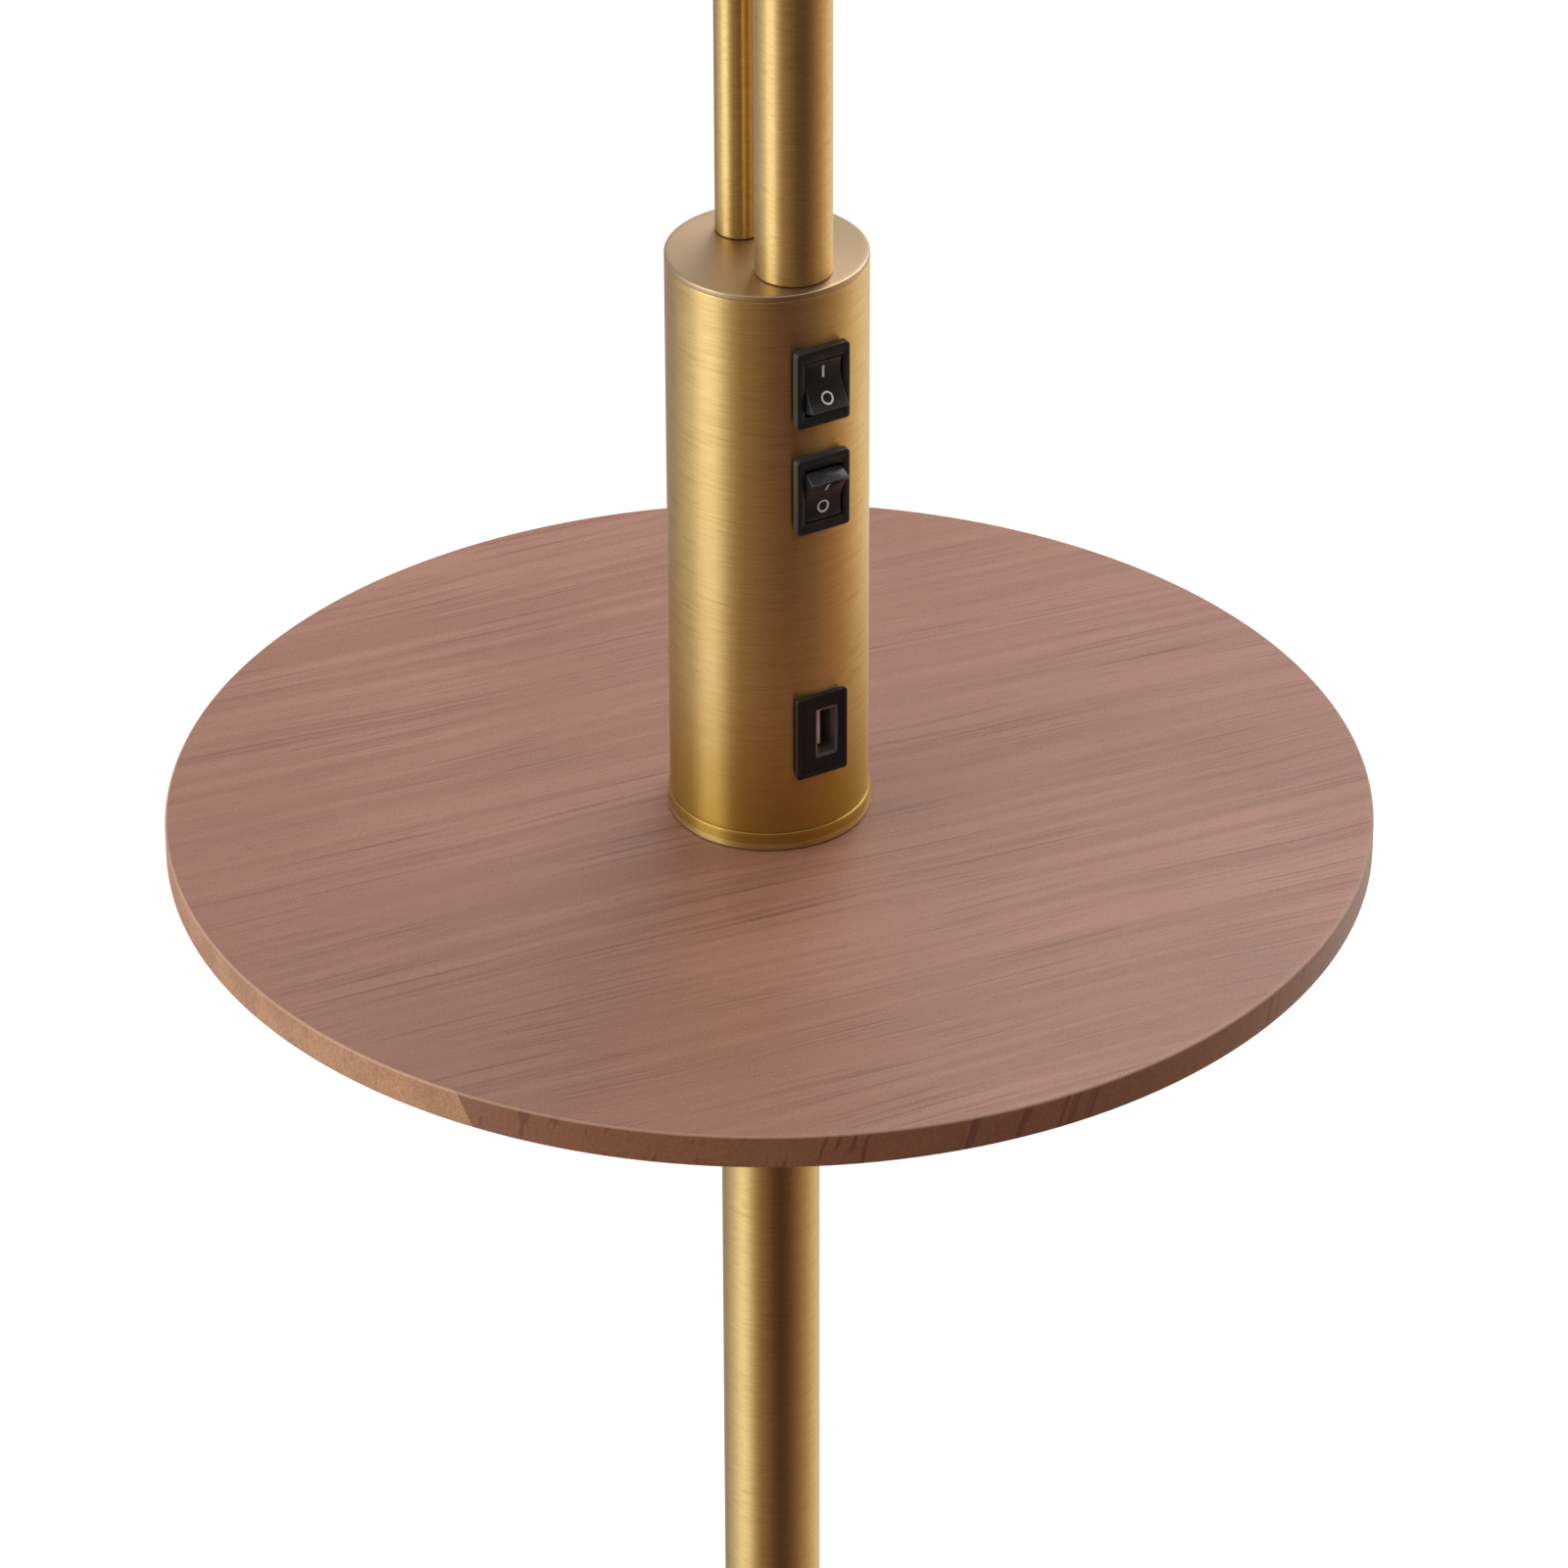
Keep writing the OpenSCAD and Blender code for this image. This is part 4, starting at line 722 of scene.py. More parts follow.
# Control column: ring, shell with its cut-outs, cap and the two rear screws
column = {"radius": 25, "bore": 23.5, "foot": 620, "ringTop": 625, "ringRadius": 25.5, "ringBore": 20.85,
          "lip": 632, "shellTop": 774.5, "top": 776, "capBottom": 771, "screwHeight": 628.5,
          "upperSwitch": 750.8, "lowerSwitch": 721.3, "port": 652.4}
# Width, height and middle of the cut-outs for both switches and the port
cutouts = ((12.85, 19.1, column["upperSwitch"]), (12.85, 19.1, column["lowerSwitch"]),
           (12.7, 20.5, column["port"]))
spigot = column["bore"] - 0.05
ring = turnedPiece("columnRing", [
    (poleHole, column["foot"]), (column["ringRadius"], column["foot"], 0.15),
    (column["ringRadius"], column["ringTop"], 0.35), (spigot, column["ringTop"]),
    (spigot, column["lip"], 0.4), (column["ringBore"], column["lip"]),
    (column["ringBore"], column["ringTop"]),
    (poleHole, column["ringTop"])], steps=128)
dressBrass(ring, brassAxis, "column_ring")
shell = turnedPiece("columnShell", ringOutline(
    column["bore"], column["radius"], column["ringTop"], column["shellTop"], 0.25, 0.35), steps=160)
for width, tall, middle in cutouts:
    low, high = middle - tall / 2, middle + tall / 2
    combine(shell, block("hole", (-width / 2, -27, low), (width / 2, -12, high)))
    editMesh(shell)
    for z in (low - 1, high + 1):  # rows that keep the cut's edge shading local
        selectAll()
        bpy.ops.mesh.bisect(plane_co=(0, 0, z * mm), plane_no=(0, 0, 1))
    setMode("OBJECT")
smoothBy(shell)
dressBrass(shell, brassAxis, "column_shell")
cap = turnedPiece("columnCap", [
    (0, column["capBottom"]), (spigot, column["capBottom"], 0.3), (spigot, column["shellTop"]),
    (column["radius"], column["shellTop"], 0.3), (column["radius"], column["top"], 0.5),
    (0, column["top"])], steps=160)
dressBrass(cap, brassCap, "column_cap")
places = []
for angle in (math.radians(55), math.radians(125)):
    out = Vector((math.cos(angle), math.sin(angle), 0))
    spot = out * column["radius"] + Vector((0, 0, column["screwHeight"]))
    places.append(Matrix.Translation(spot * mm)
                  @ Vector((0, 0, 1)).rotation_difference(out).to_matrix().to_4x4())
screwSet("shellScrew", "shell_screws", head=2.8, headHeight=1.6, shank=1.45, length=4, places=places)

# Rocker switches: housing with a framed well, rocker and its two marks
switch = {"width": 15, "height": 21, "corner": 1.2, "back": -25.05, "front": -27.05, "floor": -18.05,
          "bodyBack": -7.05, "bodyWidth": 12.8, "bodyHeight": 19, "openingWidth": 10.8,
          "openingHeight": 14.56, "pivot": -25.55, "rockerWidth": 10.2, "ridge": 6.2, "ridgeDepth": 3.5,
          "endHeight": 6.6, "footDepth": 3.2, "footHeight": 3.5, "dish": 1.9, "dishRadius": 11.07,
          "swing": 18}
mark = {"from": -6, "barAt": 3.47, "barWidth": 0.62, "barHeight": 3.0, "ringAt": -3.22, "ringRadius": 1.65,
        "ringHole": 1.17}


def housingPiece(name, middle):
    front, back = switch["front"], switch["back"]
    corners = boxCorners(switch["width"] / 2, switch["height"] / 2, switch["corner"])
    housing = cutPlate(name, corners, front, back)
    editMesh(housing)
    pickEdges(lambda at, way: abs(at.y - front) < 0.01 and abs(way.y) < 0.1)
    bpy.ops.mesh.bevel(offset=0.55 * mm, segments=4, affect="EDGES")
    setMode("OBJECT")
    bodyX, bodyZ = switch["bodyWidth"] / 2, switch["bodyHeight"] / 2
    body = block("body", (-bodyX, back - 0.5, -bodyZ), (bodyX, switch["bodyBack"], bodyZ))
    combine(housing, body, "UNION")
    wellX, wellZ = switch["openingWidth"] / 2, switch["openingHeight"] / 2
    combine(housing, cutPlate("well", boxCorners(wellX, wellZ, 0.4), front - 3, switch["floor"]))
    editMesh(housing)
    pickEdges(lambda at, way: abs(at.y - front) < 0.01 and abs(at.x) < wellX + 0.01
              and abs(at.z) < wellZ + 0.01 and abs(way.y) < 0.1)
    bpy.ops.mesh.bevel(offset=0.22 * mm, segments=2, affect="EDGES")
    setMode("OBJECT")
    settle(housing, (0, 0, middle))
    smoothBy(housing, 35)
    return housing


def rockerPieces(name, middle, tilt):
    centre = switch["dish"] - switch["ridgeDepth"] - switch["dishRadius"]
    side = []
    for k in range(17):  # the dished face, from its lower ridge to its upper one
        z = -switch["ridge"] + 2 * switch["ridge"] * k / 16
        side.append((centre + math.sqrt(switch["dishRadius"] ** 2 - z * z), z))
    side += [(1.0, switch["endHeight"]), (switch["footDepth"], switch["footHeight"]),
             (switch["footDepth"], -switch["footHeight"]), (1.0, -switch["endHeight"])]
    key = drawLine(name, [Vector((-switch["rockerWidth"] / 2, y, z)) for y, z in side])
    bpy.ops.mesh.edge_face_add()
    bpy.ops.mesh.extrude_region_move(TRANSFORM_OT_translate={"value": (switch["rockerWidth"] * mm, 0, 0)})
    endShape()
    softEdges(key, 0.28)
    # The on bar and the off ring, laid on the dished face
    upright = (math.pi / 2, 0, 0)
    barAt, ringAt = ((0, mark["from"] * mm, mark[which] * mm) for which in ("barAt", "ringAt"))
    startClean()
    bpy.ops.mesh.primitive_plane_add(size=mm, location=barAt, rotation=upright)
    bar = rename(name + "Bar")
    applyMoves()
    setMode("EDIT")
    selectAll()
    bpy.ops.transform.resize(value=(mark["barWidth"], 1, mark["barHeight"]), center_override=barAt)
    bpy.ops.mesh.subdivide(number_cuts=6)
    startClean()
    bpy.ops.mesh.primitive_circle_add(vertices=64, radius=mark["ringRadius"] * mm, location=ringAt,
                                      rotation=upright)
    dot = rename(name + "Ring")
    applyMoves()
    setMode("EDIT")
    selectAll()
    bpy.ops.mesh.extrude_region_move()
    bpy.ops.transform.resize(value=(mark["ringHole"] / mark["ringRadius"],) * 3, center_override=ringAt)
    endShape()
    for flatMark in (bar, dot):
        finishWith(flatMark, "SHRINKWRAP", target=key, wrap_method="PROJECT", use_project_y=True,
                   use_positive_direction=True, use_negative_direction=False, offset=0.02 * mm)
        editMesh(flatMark)
        selectAll()
        if sum((f.normal.y for f in bmesh.from_edit_mesh(flatMark.data).faces), 0.0) > 0:
            bpy.ops.mesh.flip_normals()
        setMode("OBJECT")
    for piece in (key, bar, dot):
        makeOnly(piece)
        piece.matrix_world = (Matrix.Translation(Vector((0, switch["pivot"], middle)) * mm)
                              @ Matrix.Rotation(math.radians(tilt), 4, "X"))
        applyMoves()
    return key, bar, dot


for side, tilt in (("upper", -switch["swing"]), ("lower", switch["swing"])):
    middle, body = column[side + "Switch"], side + "_rocker_body"
    housing = housingPiece(side + "Housing", middle)
    dress(housing, blackGloss, "stand", "black_plastic", side + "_switch_housing")
    key, bar, dot = rockerPieces(side + "Rocker", middle, tilt)
    dress(key, blackRocker, body, "black_plastic", side + "_rocker")
    dress(bar, markWhite, body, "white_plastic")
    dress(dot, markWhite, body, "white_plastic")

# USB port: framed plate, metal mouth, tongue with four contacts
port = {"width": 14.4, "height": 23, "corner": 0.8, "front": -26.25, "back": -25.05, "shift": 1.8,
        "frame": 1.1, "fieldDepth": 0.4, "openingWidth": 6.6, "openingHeight": 14.4, "mouthWidth": 5.82,
        "mouthHeight": 13.2, "mouthWall": 0.35, "mouthDepth": 13, "tongueX": 1.11, "tongueWidth": 1.84,
        "tongueHeight": 11.1, "tongueTip": -21.85}
halfX, halfZ = port["width"] / 2, port["height"] / 2
plate = cutPlate("portPlate", boxCorners(halfX, halfZ, port["corner"]), port["front"], port["back"])
combine(plate, cutPlate("field", boxCorners(halfX - port["frame"], halfZ - port["frame"], 0.5),
                        port["front"] - 1, port["front"] + port["fieldDepth"]))
mouthHole = cutPlate("mouthHole", boxCorners(port["openingWidth"] / 2, port["openingHeight"] / 2, 0.5),
                     port["front"] - 2, port["back"] + 2)
combine(plate, settle(mouthHole, (port["shift"], 0, 0)))
softEdges(plate, 0.2)
settle(plate, (0, 0, column["port"]))
dress(plate, portBlack, "stand", "black_plastic", "usb_plate")
halfX, halfZ = port["mouthWidth"] / 2, port["mouthHeight"] / 2
front, deep = port["back"] + 0.05, port["back"] + 0.05 + port["mouthDepth"]
mouth = cutPlate("portMouth", boxCorners(halfX, halfZ, 0.4), front, deep)
combine(mouth, cutPlate("inside", boxCorners(halfX - port["mouthWall"], halfZ - port["mouthWall"], 0.2),
                        front - 1, deep - 1))
softEdges(mouth, 0.08, 2)
settle(mouth, (port["shift"], 0, column["port"]))
dress(mouth, jackSteel, "stand", "nickel", "usb_jack_shell")
halfX, halfZ = port["tongueWidth"] / 2, port["tongueHeight"] / 2
tongue = block("portTongue", (port["tongueX"] - halfX, port["tongueTip"], column["port"] - halfZ),
               (port["tongueX"] + halfX, deep - 1, column["port"] + halfZ))
softEdges(tongue, 0.25)
dress(tongue, whiteMatt, "stand", "white_plastic", "usb_jack_tongue")
pads = []
tongueFace = port["tongueX"] + halfX
for k, height in enumerate((-3.5, -1.0, 1.0, 3.5)):
    z = column["port"] + height
    pads.append(block("contact" + str(k), (tongueFace - 0.05, port["tongueTip"] + 0.6, z - 0.45),
                      (tongueFace + 0.12, port["tongueTip"] + 7.5, z + 0.45)))
    softEdges(pads[-1], 0.05, 2)
dress(joinTogether("portContacts", pads), goldPlate, "stand", "contact_brass")
print("column, switches and port done")

# Main pole, lampholder and bulb
main = {"radius": 9.5, "wall": 1, "foot": 776, "joint": 1040, "top": 1296, "y": -12.7}
mainAt = (0, main["y"], 0)
mainLower = tubePiece("mainLower", main["radius"], main["wall"], main["foot"], main["joint"], mainAt)
dressBrass(mainLower, brassMain, "main_lower_tube")
mainUpper = tubePiece("mainUpper", main["radius"], main["wall"], main["joint"], main["top"], mainAt)
dressBrass(mainUpper, brassMain, "main_upper_tube")
holder = {"cupRadius": 18.5, "cupTop": 1326, "cupBore": 17, "cupFloor": 1298, "shoulderRadius": 20,
          "shoulderTop": 1329, "skirtRadius": 18.2, "top": 1352, "bore": 14, "boreFloor": 1316,
          "inner": 16.85, "bottom": 1307, "threadFrom": 1330.6, "threadPitch": 2.3, "threadTurns": 9}
cup = turnedPiece("holderCup", [
    (poleHole, main["top"]), (holder["cupRadius"], main["top"], 3),
    (holder["cupRadius"], holder["cupTop"], 0.4), (holder["cupBore"], holder["cupTop"], 0.4),
    (holder["cupBore"], holder["cupFloor"], 2),
    (poleHole, holder["cupFloor"])], mainAt)
dressBrass(cup, brassMain, "socket_cup")
threadTop, threadFoot = holder["skirtRadius"], holder["skirtRadius"] - 0.5
skirt = [(holder["inner"], holder["bottom"]), (holder["inner"], holder["cupTop"]),
         (holder["shoulderRadius"], holder["cupTop"], 0.3),
         (holder["shoulderRadius"], holder["shoulderTop"], 0.5),
         (threadTop - 0.1, holder["shoulderTop"], 0.2)]
for k in range(holder["threadTurns"]):  # rounded turns of the thread that takes the ring nut
    z = holder["threadFrom"] + holder["threadPitch"] * k
    skirt += [(threadTop - 0.55, z - 0.55, 0.15), (threadTop, z + 0.1, 0.2), (threadTop, z + 0.8, 0.2)]
skirt += [(threadFoot, holder["top"] - 1.2, 0.2), (threadFoot, holder["top"], 0.5),
          (holder["bore"], holder["top"], 0.6), (holder["bore"], holder["boreFloor"]),
          (3.0, holder["boreFloor"]), (3.0, holder["bottom"])]
dress(turnedPiece("holderBody", skirt, mainAt), phenolic, "stand", "phenolic", "socket_body")

# Ring nut with finger ribs round its edge
nut = {"radius": 23, "bore": 18.3, "low": 1332.1, "high": 1339, "ribs": 30, "ribDepth": 0.9}
startClean()
bpy.ops.mesh.primitive_cylinder_add(vertices=nut["ribs"] * 4, radius=nut["radius"] * mm,
                                    depth=(nut["high"] - nut["low"]) * mm,
                                    location=(0, 0, (nut["low"] + nut["high"]) / 2 * mm))
ringNut = rename("ringNut")
applyMoves()
setMode("EDIT")
step = 2 * math.pi / (nut["ribs"] * 4)
pickEdges(lambda at, way: abs(way.z) > 0.9 and round(math.atan2(at.y, at.x) / step) % 4 in (0, 1))
bpy.ops.transform.resize(value=((nut["radius"] - nut["ribDepth"]) / nut["radius"],) * 2 + (1,),
                         center_override=(0, 0, 0))
setMode("OBJECT")
combine(ringNut, turnedPiece("hole", ringOutline(0, nut["bore"], nut["low"] - 1, nut["high"] + 1)))
softEdges(ringNut, 0.3, 2, 30)
settle(ringNut, mainAt)
dress(ringNut, phenolic, "stand", "black_plastic", "shade_ring_nut")


# Half outline of a bulb: neck, smooth swell and dome, which begins at the angle leaves
def bulbOutline(neck, low, neckTop, radius, centre, leaves):
    outline = [(0, low), (neck, low, 0.4), (neck, neckTop)]
    start, meet = Vector((neck, neckTop)), math.radians(leaves)
    end = Vector((radius * math.sin(meet), centre - radius * math.cos(meet)))
    pull = start + Vector((0, (end.y - start.y) * 0.45))
    for k in range(1, 8):
        t = k / 8
        spot = start * (1 - t) ** 2 + pull * 2 * t * (1 - t) + end * t * t
        outline.append((spot.x, spot.y))
    for k in range(17):
        a = meet + (math.pi - meet) * k / 16
        outline.append((radius * math.sin(a) if k < 16 else 0, centre - radius * math.cos(a)))
    return outline


bulbSide = bulbOutline(neck=12.6, low=1341, neckTop=1350, radius=30, centre=1396, leaves=62)
bulb = turnedPiece("bulb", bulbSide, mainAt)
dress(bulb, opalGlass, "stand", "opal_glass", "bulb_glass")
print("main pole and holder done")

# Drum shade: linen over a lining film, edge tapes, wire rings and spider
shade = {"low": 1274, "high": 1504, "lowRadius": 180, "highRadius": 165, "skin": 0.6, "clothThick": 0.58,
         "tape": 9, "tapeOut": 0.45, "tapeThick": 0.4, "wire": 1.5, "spoke": 1.2, "spokes": 3,
         "fitterRadius": 20.3, "fitterHeight": 1330.55, "unrollRadius": 172}


def shadeRadius(z):
    share = (z - shade["low"]) / (shade["high"] - shade["low"])
    return shade["lowRadius"] + (shade["highRadius"] - shade["lowRadius"]) * share


def bandPiece(name, out, thick, low, high, edge):
    lowOut, highOut = shadeRadius(low) + out, shadeRadius(high) + out
    piece = turnedPiece(name, [(lowOut - thick, low), (lowOut, low, edge), (highOut, high, edge),
                               (highOut - thick, high)], mainAt, steps=144)
    # Unrolls the band onto its UV map, in millimetres
    while piece.data.uv_layers:
        piece.data.uv_layers.remove(piece.data.uv_layers[0])
    layer = piece.data.uv_layers.new(name="cloth")
    for face in piece.data.polygons:
        first = None
        for corner in face.loop_indices:
            co = piece.data.vertices[piece.data.loops[corner].vertex_index].co / mm
            angle = math.atan2(co.x, -(co.y - main["y"]))
            if first is None:
                first = angle
            angle += 2 * math.pi * round((first - angle) / (2 * math.pi))
            layer.data[corner].uv = (angle * shade["unrollRadius"], co.z - shade["low"])
    return piece


cloth = bandPiece("shadeCloth", 0, shade["clothThick"], shade["low"], shade["high"], 0.1)
dress(cloth, linenCloth, "stand", "linen", "shade_fabric")
liner = bandPiece("shadeLining", -shade["skin"], shade["skin"], shade["low"], shade["high"], 0.1)
dress(liner, linerFilm, "stand", "shade_liner", "shade_liner")
tapes = [bandPiece(name, shade["tapeOut"], shade["tapeThick"], low, low + shade["tape"], 0.15)
         for name, low in (("tapeLow", shade["low"]), ("tapeHigh", shade["high"] - shade["tape"]))]
dress(joinTogether("shadeTapes", tapes), linenTape, "stand", "linen_tape", "shade_tape")


def wireRing(name, radius, z):
    turns = [k * math.pi / 6 for k in range(12)]
    outline = [(radius + shade["wire"] * math.cos(a), z + shade["wire"] * math.sin(a)) for a in turns]
    return turnedPiece(name, outline, mainAt, steps=120, smooth=60)


inset = 2 * shade["skin"] + shade["wire"] + 0.1  # from the shade's outside to the middle of its wire
rimZ = shade["low"] + shade["wire"] + 0.5
rimRadius = shadeRadius(shade["low"] + shade["wire"]) - inset
spider = [wireRing("fitterRing", shade["fitterRadius"], shade["fitterHeight"]),
          wireRing("rimRing", rimRadius, rimZ)]
for k in range(shade["spokes"]):
    angle = math.radians(90 + 120 * k)
    out = Vector((math.cos(angle), math.sin(angle), 0))
    start = out * shade["fitterRadius"] + Vector((0, main["y"], shade["fitterHeight"]))
    end = out * rimRadius + Vector((0, main["y"], rimZ))
    long = (end - start).length
    rod, weld = shade["spoke"], shade["spoke"] + 0.25
    spider.append(turnedPiece("spoke" + str(k), [  # a rod that swells a little where it is welded
        (0, 0), (weld, 0), (weld, 2.4, 1.0), (rod, 3.6, 1.0), (rod, long - 3.6, 1.0),
        (weld, long - 2.4, 1.0), (weld, long), (0, long)], start, (end - start).normalized(), 24, 60))
dress(joinTogether("spider", spider), wireWhite, "stand", "frame_wire", "shade_spider")
topRing = wireRing("shadeTopRing", shadeRadius(shade["high"]) - inset, shade["high"] - shade["wire"] - 0.5)
dress(topRing, wireWhite, "stand", "frame_wire", "shade_top_ring")
print("shade done")

# Thin pole with the swivel of the reading light
thin = {"radius": 6.25, "wall": 0.9, "foot": 776, "top": 1130, "y": 12.7, "flangeRadius": 8,
        "flangeTop": 1133, "pin": 4, "pinTop": 1161.4}
thinAt = (0, thin["y"], 0)
thinTube = tubePiece("thinPole", thin["radius"], thin["wall"], thin["foot"], thin["top"], thinAt, edge=0.25)
dressBrass(thinTube, brassThin, "thin_pole")
post = turnedPiece("swivelPost", [
    (2, 1112), (5.3, 1112, 0.3), (5.3, thin["top"]), (thin["flangeRadius"], thin["top"], 0.4),
    (thin["flangeRadius"], thin["flangeTop"], 0.7), (thin["pin"], thin["flangeTop"]),
    (thin["pin"], thin["pinTop"]), (3, thin["pinTop"]), (3, 1166), (2, 1166)], thinAt, steps=64)
dressBrass(post, brassThin, "thin_pole_head")
hub = {"radius": 11, "low": 1133.3, "high": 1159.3, "edge": 1.5, "armZ": 1146.3, "bossRadius": 7.5,
       "bossEnd": 24, "pinBore": 4.05, "armBore": 5.05}
armAt = (0, thin["y"], hub["armZ"])
hubPiece = turnedPiece("swivelHub", ringOutline(0, hub["radius"], hub["low"], hub["high"], hub["edge"],
                                                hub["edge"]), thinAt, steps=64)
boss = turnedPiece("boss", ringOutline(0, hub["bossRadius"], 2, hub["bossEnd"], 0, 0.8), armAt, "X", 64)
combine(hubPiece, boss, "UNION")
combine(hubPiece, turnedPiece("bore", ringOutline(0, hub["pinBore"], 1130, 1163), thinAt, steps=48))
combine(hubPiece, turnedPiece("bore", ringOutline(0, hub["armBore"], 9.5, 26), armAt, "X", 48))
smoothBy(hubPiece)
dressBrass(hubPiece, brassThin, "swivel_hub", "arm")
washerOutline = ringOutline(hub["pinBore"], 8, 1159.6, 1161.1, 0.3, 0.3)
washer = turnedPiece("swivelWasher", washerOutline, thinAt, steps=64)
dome = turnedPiece("swivelNut", [
    (0, 1161.45), (7.5, 1161.45, 0.3), (7.5, 1163.2, 0.3), (7.1, 1163.5), (7.1, 1163.9), (7.5, 1164.2, 0.3),
    (7.5, 1168.45, 2.6), (0, 1168.45)], thinAt, steps=64)
dressBrass(joinTogether("swivelCap", [washer, dome]), brassThin, "swivel_cap")

# Reading arm, its fork, tilt screw, stem, shade and small bulb
reading = {"armRadius": 5, "armWall": 1, "armStart": 9.55, "armEnd": 186, "x": 200, "forkRadius": 7,
           "earIn": 4.3, "earOut": 7.1, "earReach": 11.5, "screwHead": 4, "screwOut": 9.3,
           "screwSlot": 8.4, "tongue": 4, "tailHalf": 4, "tailReach": 14, "nutWidth": 13, "bellTop": -25,
           "bellBore": 4.05, "bellRadius": 19, "mouthRadius": 42, "straight": 32, "length": 90,
           "wall": 1, "bulbRadius": 20, "bulbDrop": 81.9}
headAt = (reading["x"], thin["y"], hub["armZ"])
arm = tubePiece("readingArm", reading["armRadius"], reading["armWall"], reading["armStart"],
                reading["armEnd"], armAt, "X", 0.25)
dressBrass(arm, brassArm, "reading_arm", "arm")
forkRadius, armEnd = reading["forkRadius"], reading["armEnd"]
ears = [turnedPiece("forkBase", ringOutline(0, forkRadius, armEnd, armEnd + 4, 0.8, 0.2), armAt, "X", 64)]


# A plate with a round end about the tilt axis, given as an outline in X and Z
def roundEnd(name, outline, front, back):
    piece = cutPlate(name, outline, front, back)
    softEdges(piece, 0.5, 3, 40)
    return settle(piece, headAt)


halfTurn = [math.pi * k / 24 - math.pi / 2 for k in range(25)]
earOutline = [(forkRadius * math.cos(a), forkRadius * math.sin(a)) for a in halfTurn]
earOutline += [(-reading["earReach"], forkRadius), (-reading["earReach"], -forkRadius)]
for side in (-1, 1):
    near, far = sorted((side * reading["earIn"], side * reading["earOut"]))
    ears.append(roundEnd("ear" + str(side), earOutline, near, far))
dressBrass(joinTogether("armFork", ears), brassTilt, "arm_clevis", "arm")
head, out = reading["screwHead"], reading["earOut"]
screwHead = turnedPiece("tiltHead", ringOutline(0, head, out, reading["screwOut"], 0, 0.8), headAt, "-Y", 48)
combine(screwHead, block("slotCut", (reading["x"] - 5, thin["y"] - 12, hub["armZ"] - 0.5),
                         (reading["x"] + 5, thin["y"] - reading["screwSlot"], hub["armZ"] + 0.5)))
screwNut = turnedPiece("tiltNut", [
    (0, -out), (2, -out), (2, out), (head, out), (head, reading["screwOut"] - 0.3, 0.4),
    (2.4, reading["screwOut"] - 0.3), (2, reading["screwOut"], 0.2), (0, reading["screwOut"])],
    headAt, "Y", 48)
tiltScrew = joinTogether("tiltScrew", [screwHead, screwNut])
smoothBy(tiltScrew)
dressBrass(tiltScrew, brassTilt, "tilt_screw", "arm")

# The tongue's tail is narrower than its round end, which stays a full disc round the screw
tailHalf, tailReach = reading["tailHalf"], reading["tailReach"]
turns = [k / 8 * (math.pi / 2 - math.asin(tailHalf / forkRadius)) for k in range(1, 9)]
tongueOutline = [(-forkRadius * math.cos(a), -forkRadius * math.sin(a)) for a in reversed(turns)]
tongueOutline += [(forkRadius * math.sin(a), forkRadius * math.cos(a)) for a in halfTurn]
tongueOutline += [(forkRadius * math.cos(a), -forkRadius * math.sin(a)) for a in turns]
tongueOutline += [(tailHalf, -tailReach), (-tailHalf, -tailReach)]
tongue = roundEnd("headTongue", tongueOutline, -reading["tongue"], reading["tongue"])
stem = turnedPiece("stem", [
    (0, -67), (4, -67, 0.3), (4, -25), (7, -25, 0.2), (7, -23, 0.5), (4, -23, 0.6), (4, -13), (0, -13)],
    headAt, steps=48)
startClean()
bpy.ops.mesh.primitive_cylinder_add(vertices=6, radius=reading["nutWidth"] / math.sqrt(3) * mm, depth=4 * mm,
                                    location=(Vector(headAt) + Vector((0, 0, -28))) * mm)
stemNut = rename("stemNut")
applyMoves()
softEdges(stemNut, 0.4, 2)
dressBrass(joinTogether("headStem", [tongue, stem, stemNut]), brassStem, "head_stem", "head")

bellTop, bellRadius, bellWall = reading["bellTop"], reading["bellRadius"], reading["wall"]
flare = reading["length"] - reading["straight"]
outside, inside = [(reading["bellBore"], bellTop), (bellRadius, bellTop, 5)], []
for k in range(25):
    wide = bellRadius + (reading["mouthRadius"] - bellRadius) * (1 - math.cos(math.pi / 2 * k / 24))
    low = bellTop - reading["straight"] - flare * k / 24
    outside.append((wide, low))
    inside.append((wide - bellWall, low))
inside.reverse()
inside += [(bellRadius - bellWall, bellTop - bellWall, 4), (reading["bellBore"], bellTop - bellWall)]
bell = turnedPiece("readingShade", outside + inside, headAt, steps=128)
dressBrass(bell, brassHead, "reading_shade", "head")
socket = turnedPiece("readingSocket", [
    (4.05, -30.3), (13, -30.3, 1.5), (13, -36, 0.2), (12.6, -36.4), (12.6, -37.2), (13, -37.6, 0.2),
    (13, -61.3, 0.8), (8, -61.3, 0.5), (8, -50), (4.05, -50)], headAt, steps=64)
dress(socket, phenolic, "head", "phenolic", "reading_socket")
# The bulb hangs head down, so it is drawn upright and turned over about the tilt axis
headZ = hub["armZ"]
bulbSide = bulbOutline(neck=6.4, low=headZ + 56.5, neckTop=headZ + 63, radius=reading["bulbRadius"],
                       centre=headZ + reading["bulbDrop"], leaves=50)
smallBulb = turnedPiece("smallBulb", bulbSide, steps=80)
makeOnly(smallBulb)
smallBulb.matrix_world = (Matrix.Translation(Vector(headAt) * mm) @ Matrix.Rotation(math.pi, 4, "X")
                          @ Matrix.Translation((0, 0, -headZ * mm)))
applyMoves()
dress(smallBulb, opalGlass, "head", "opal_glass", "small_bulb_glass")
print("reading light done")

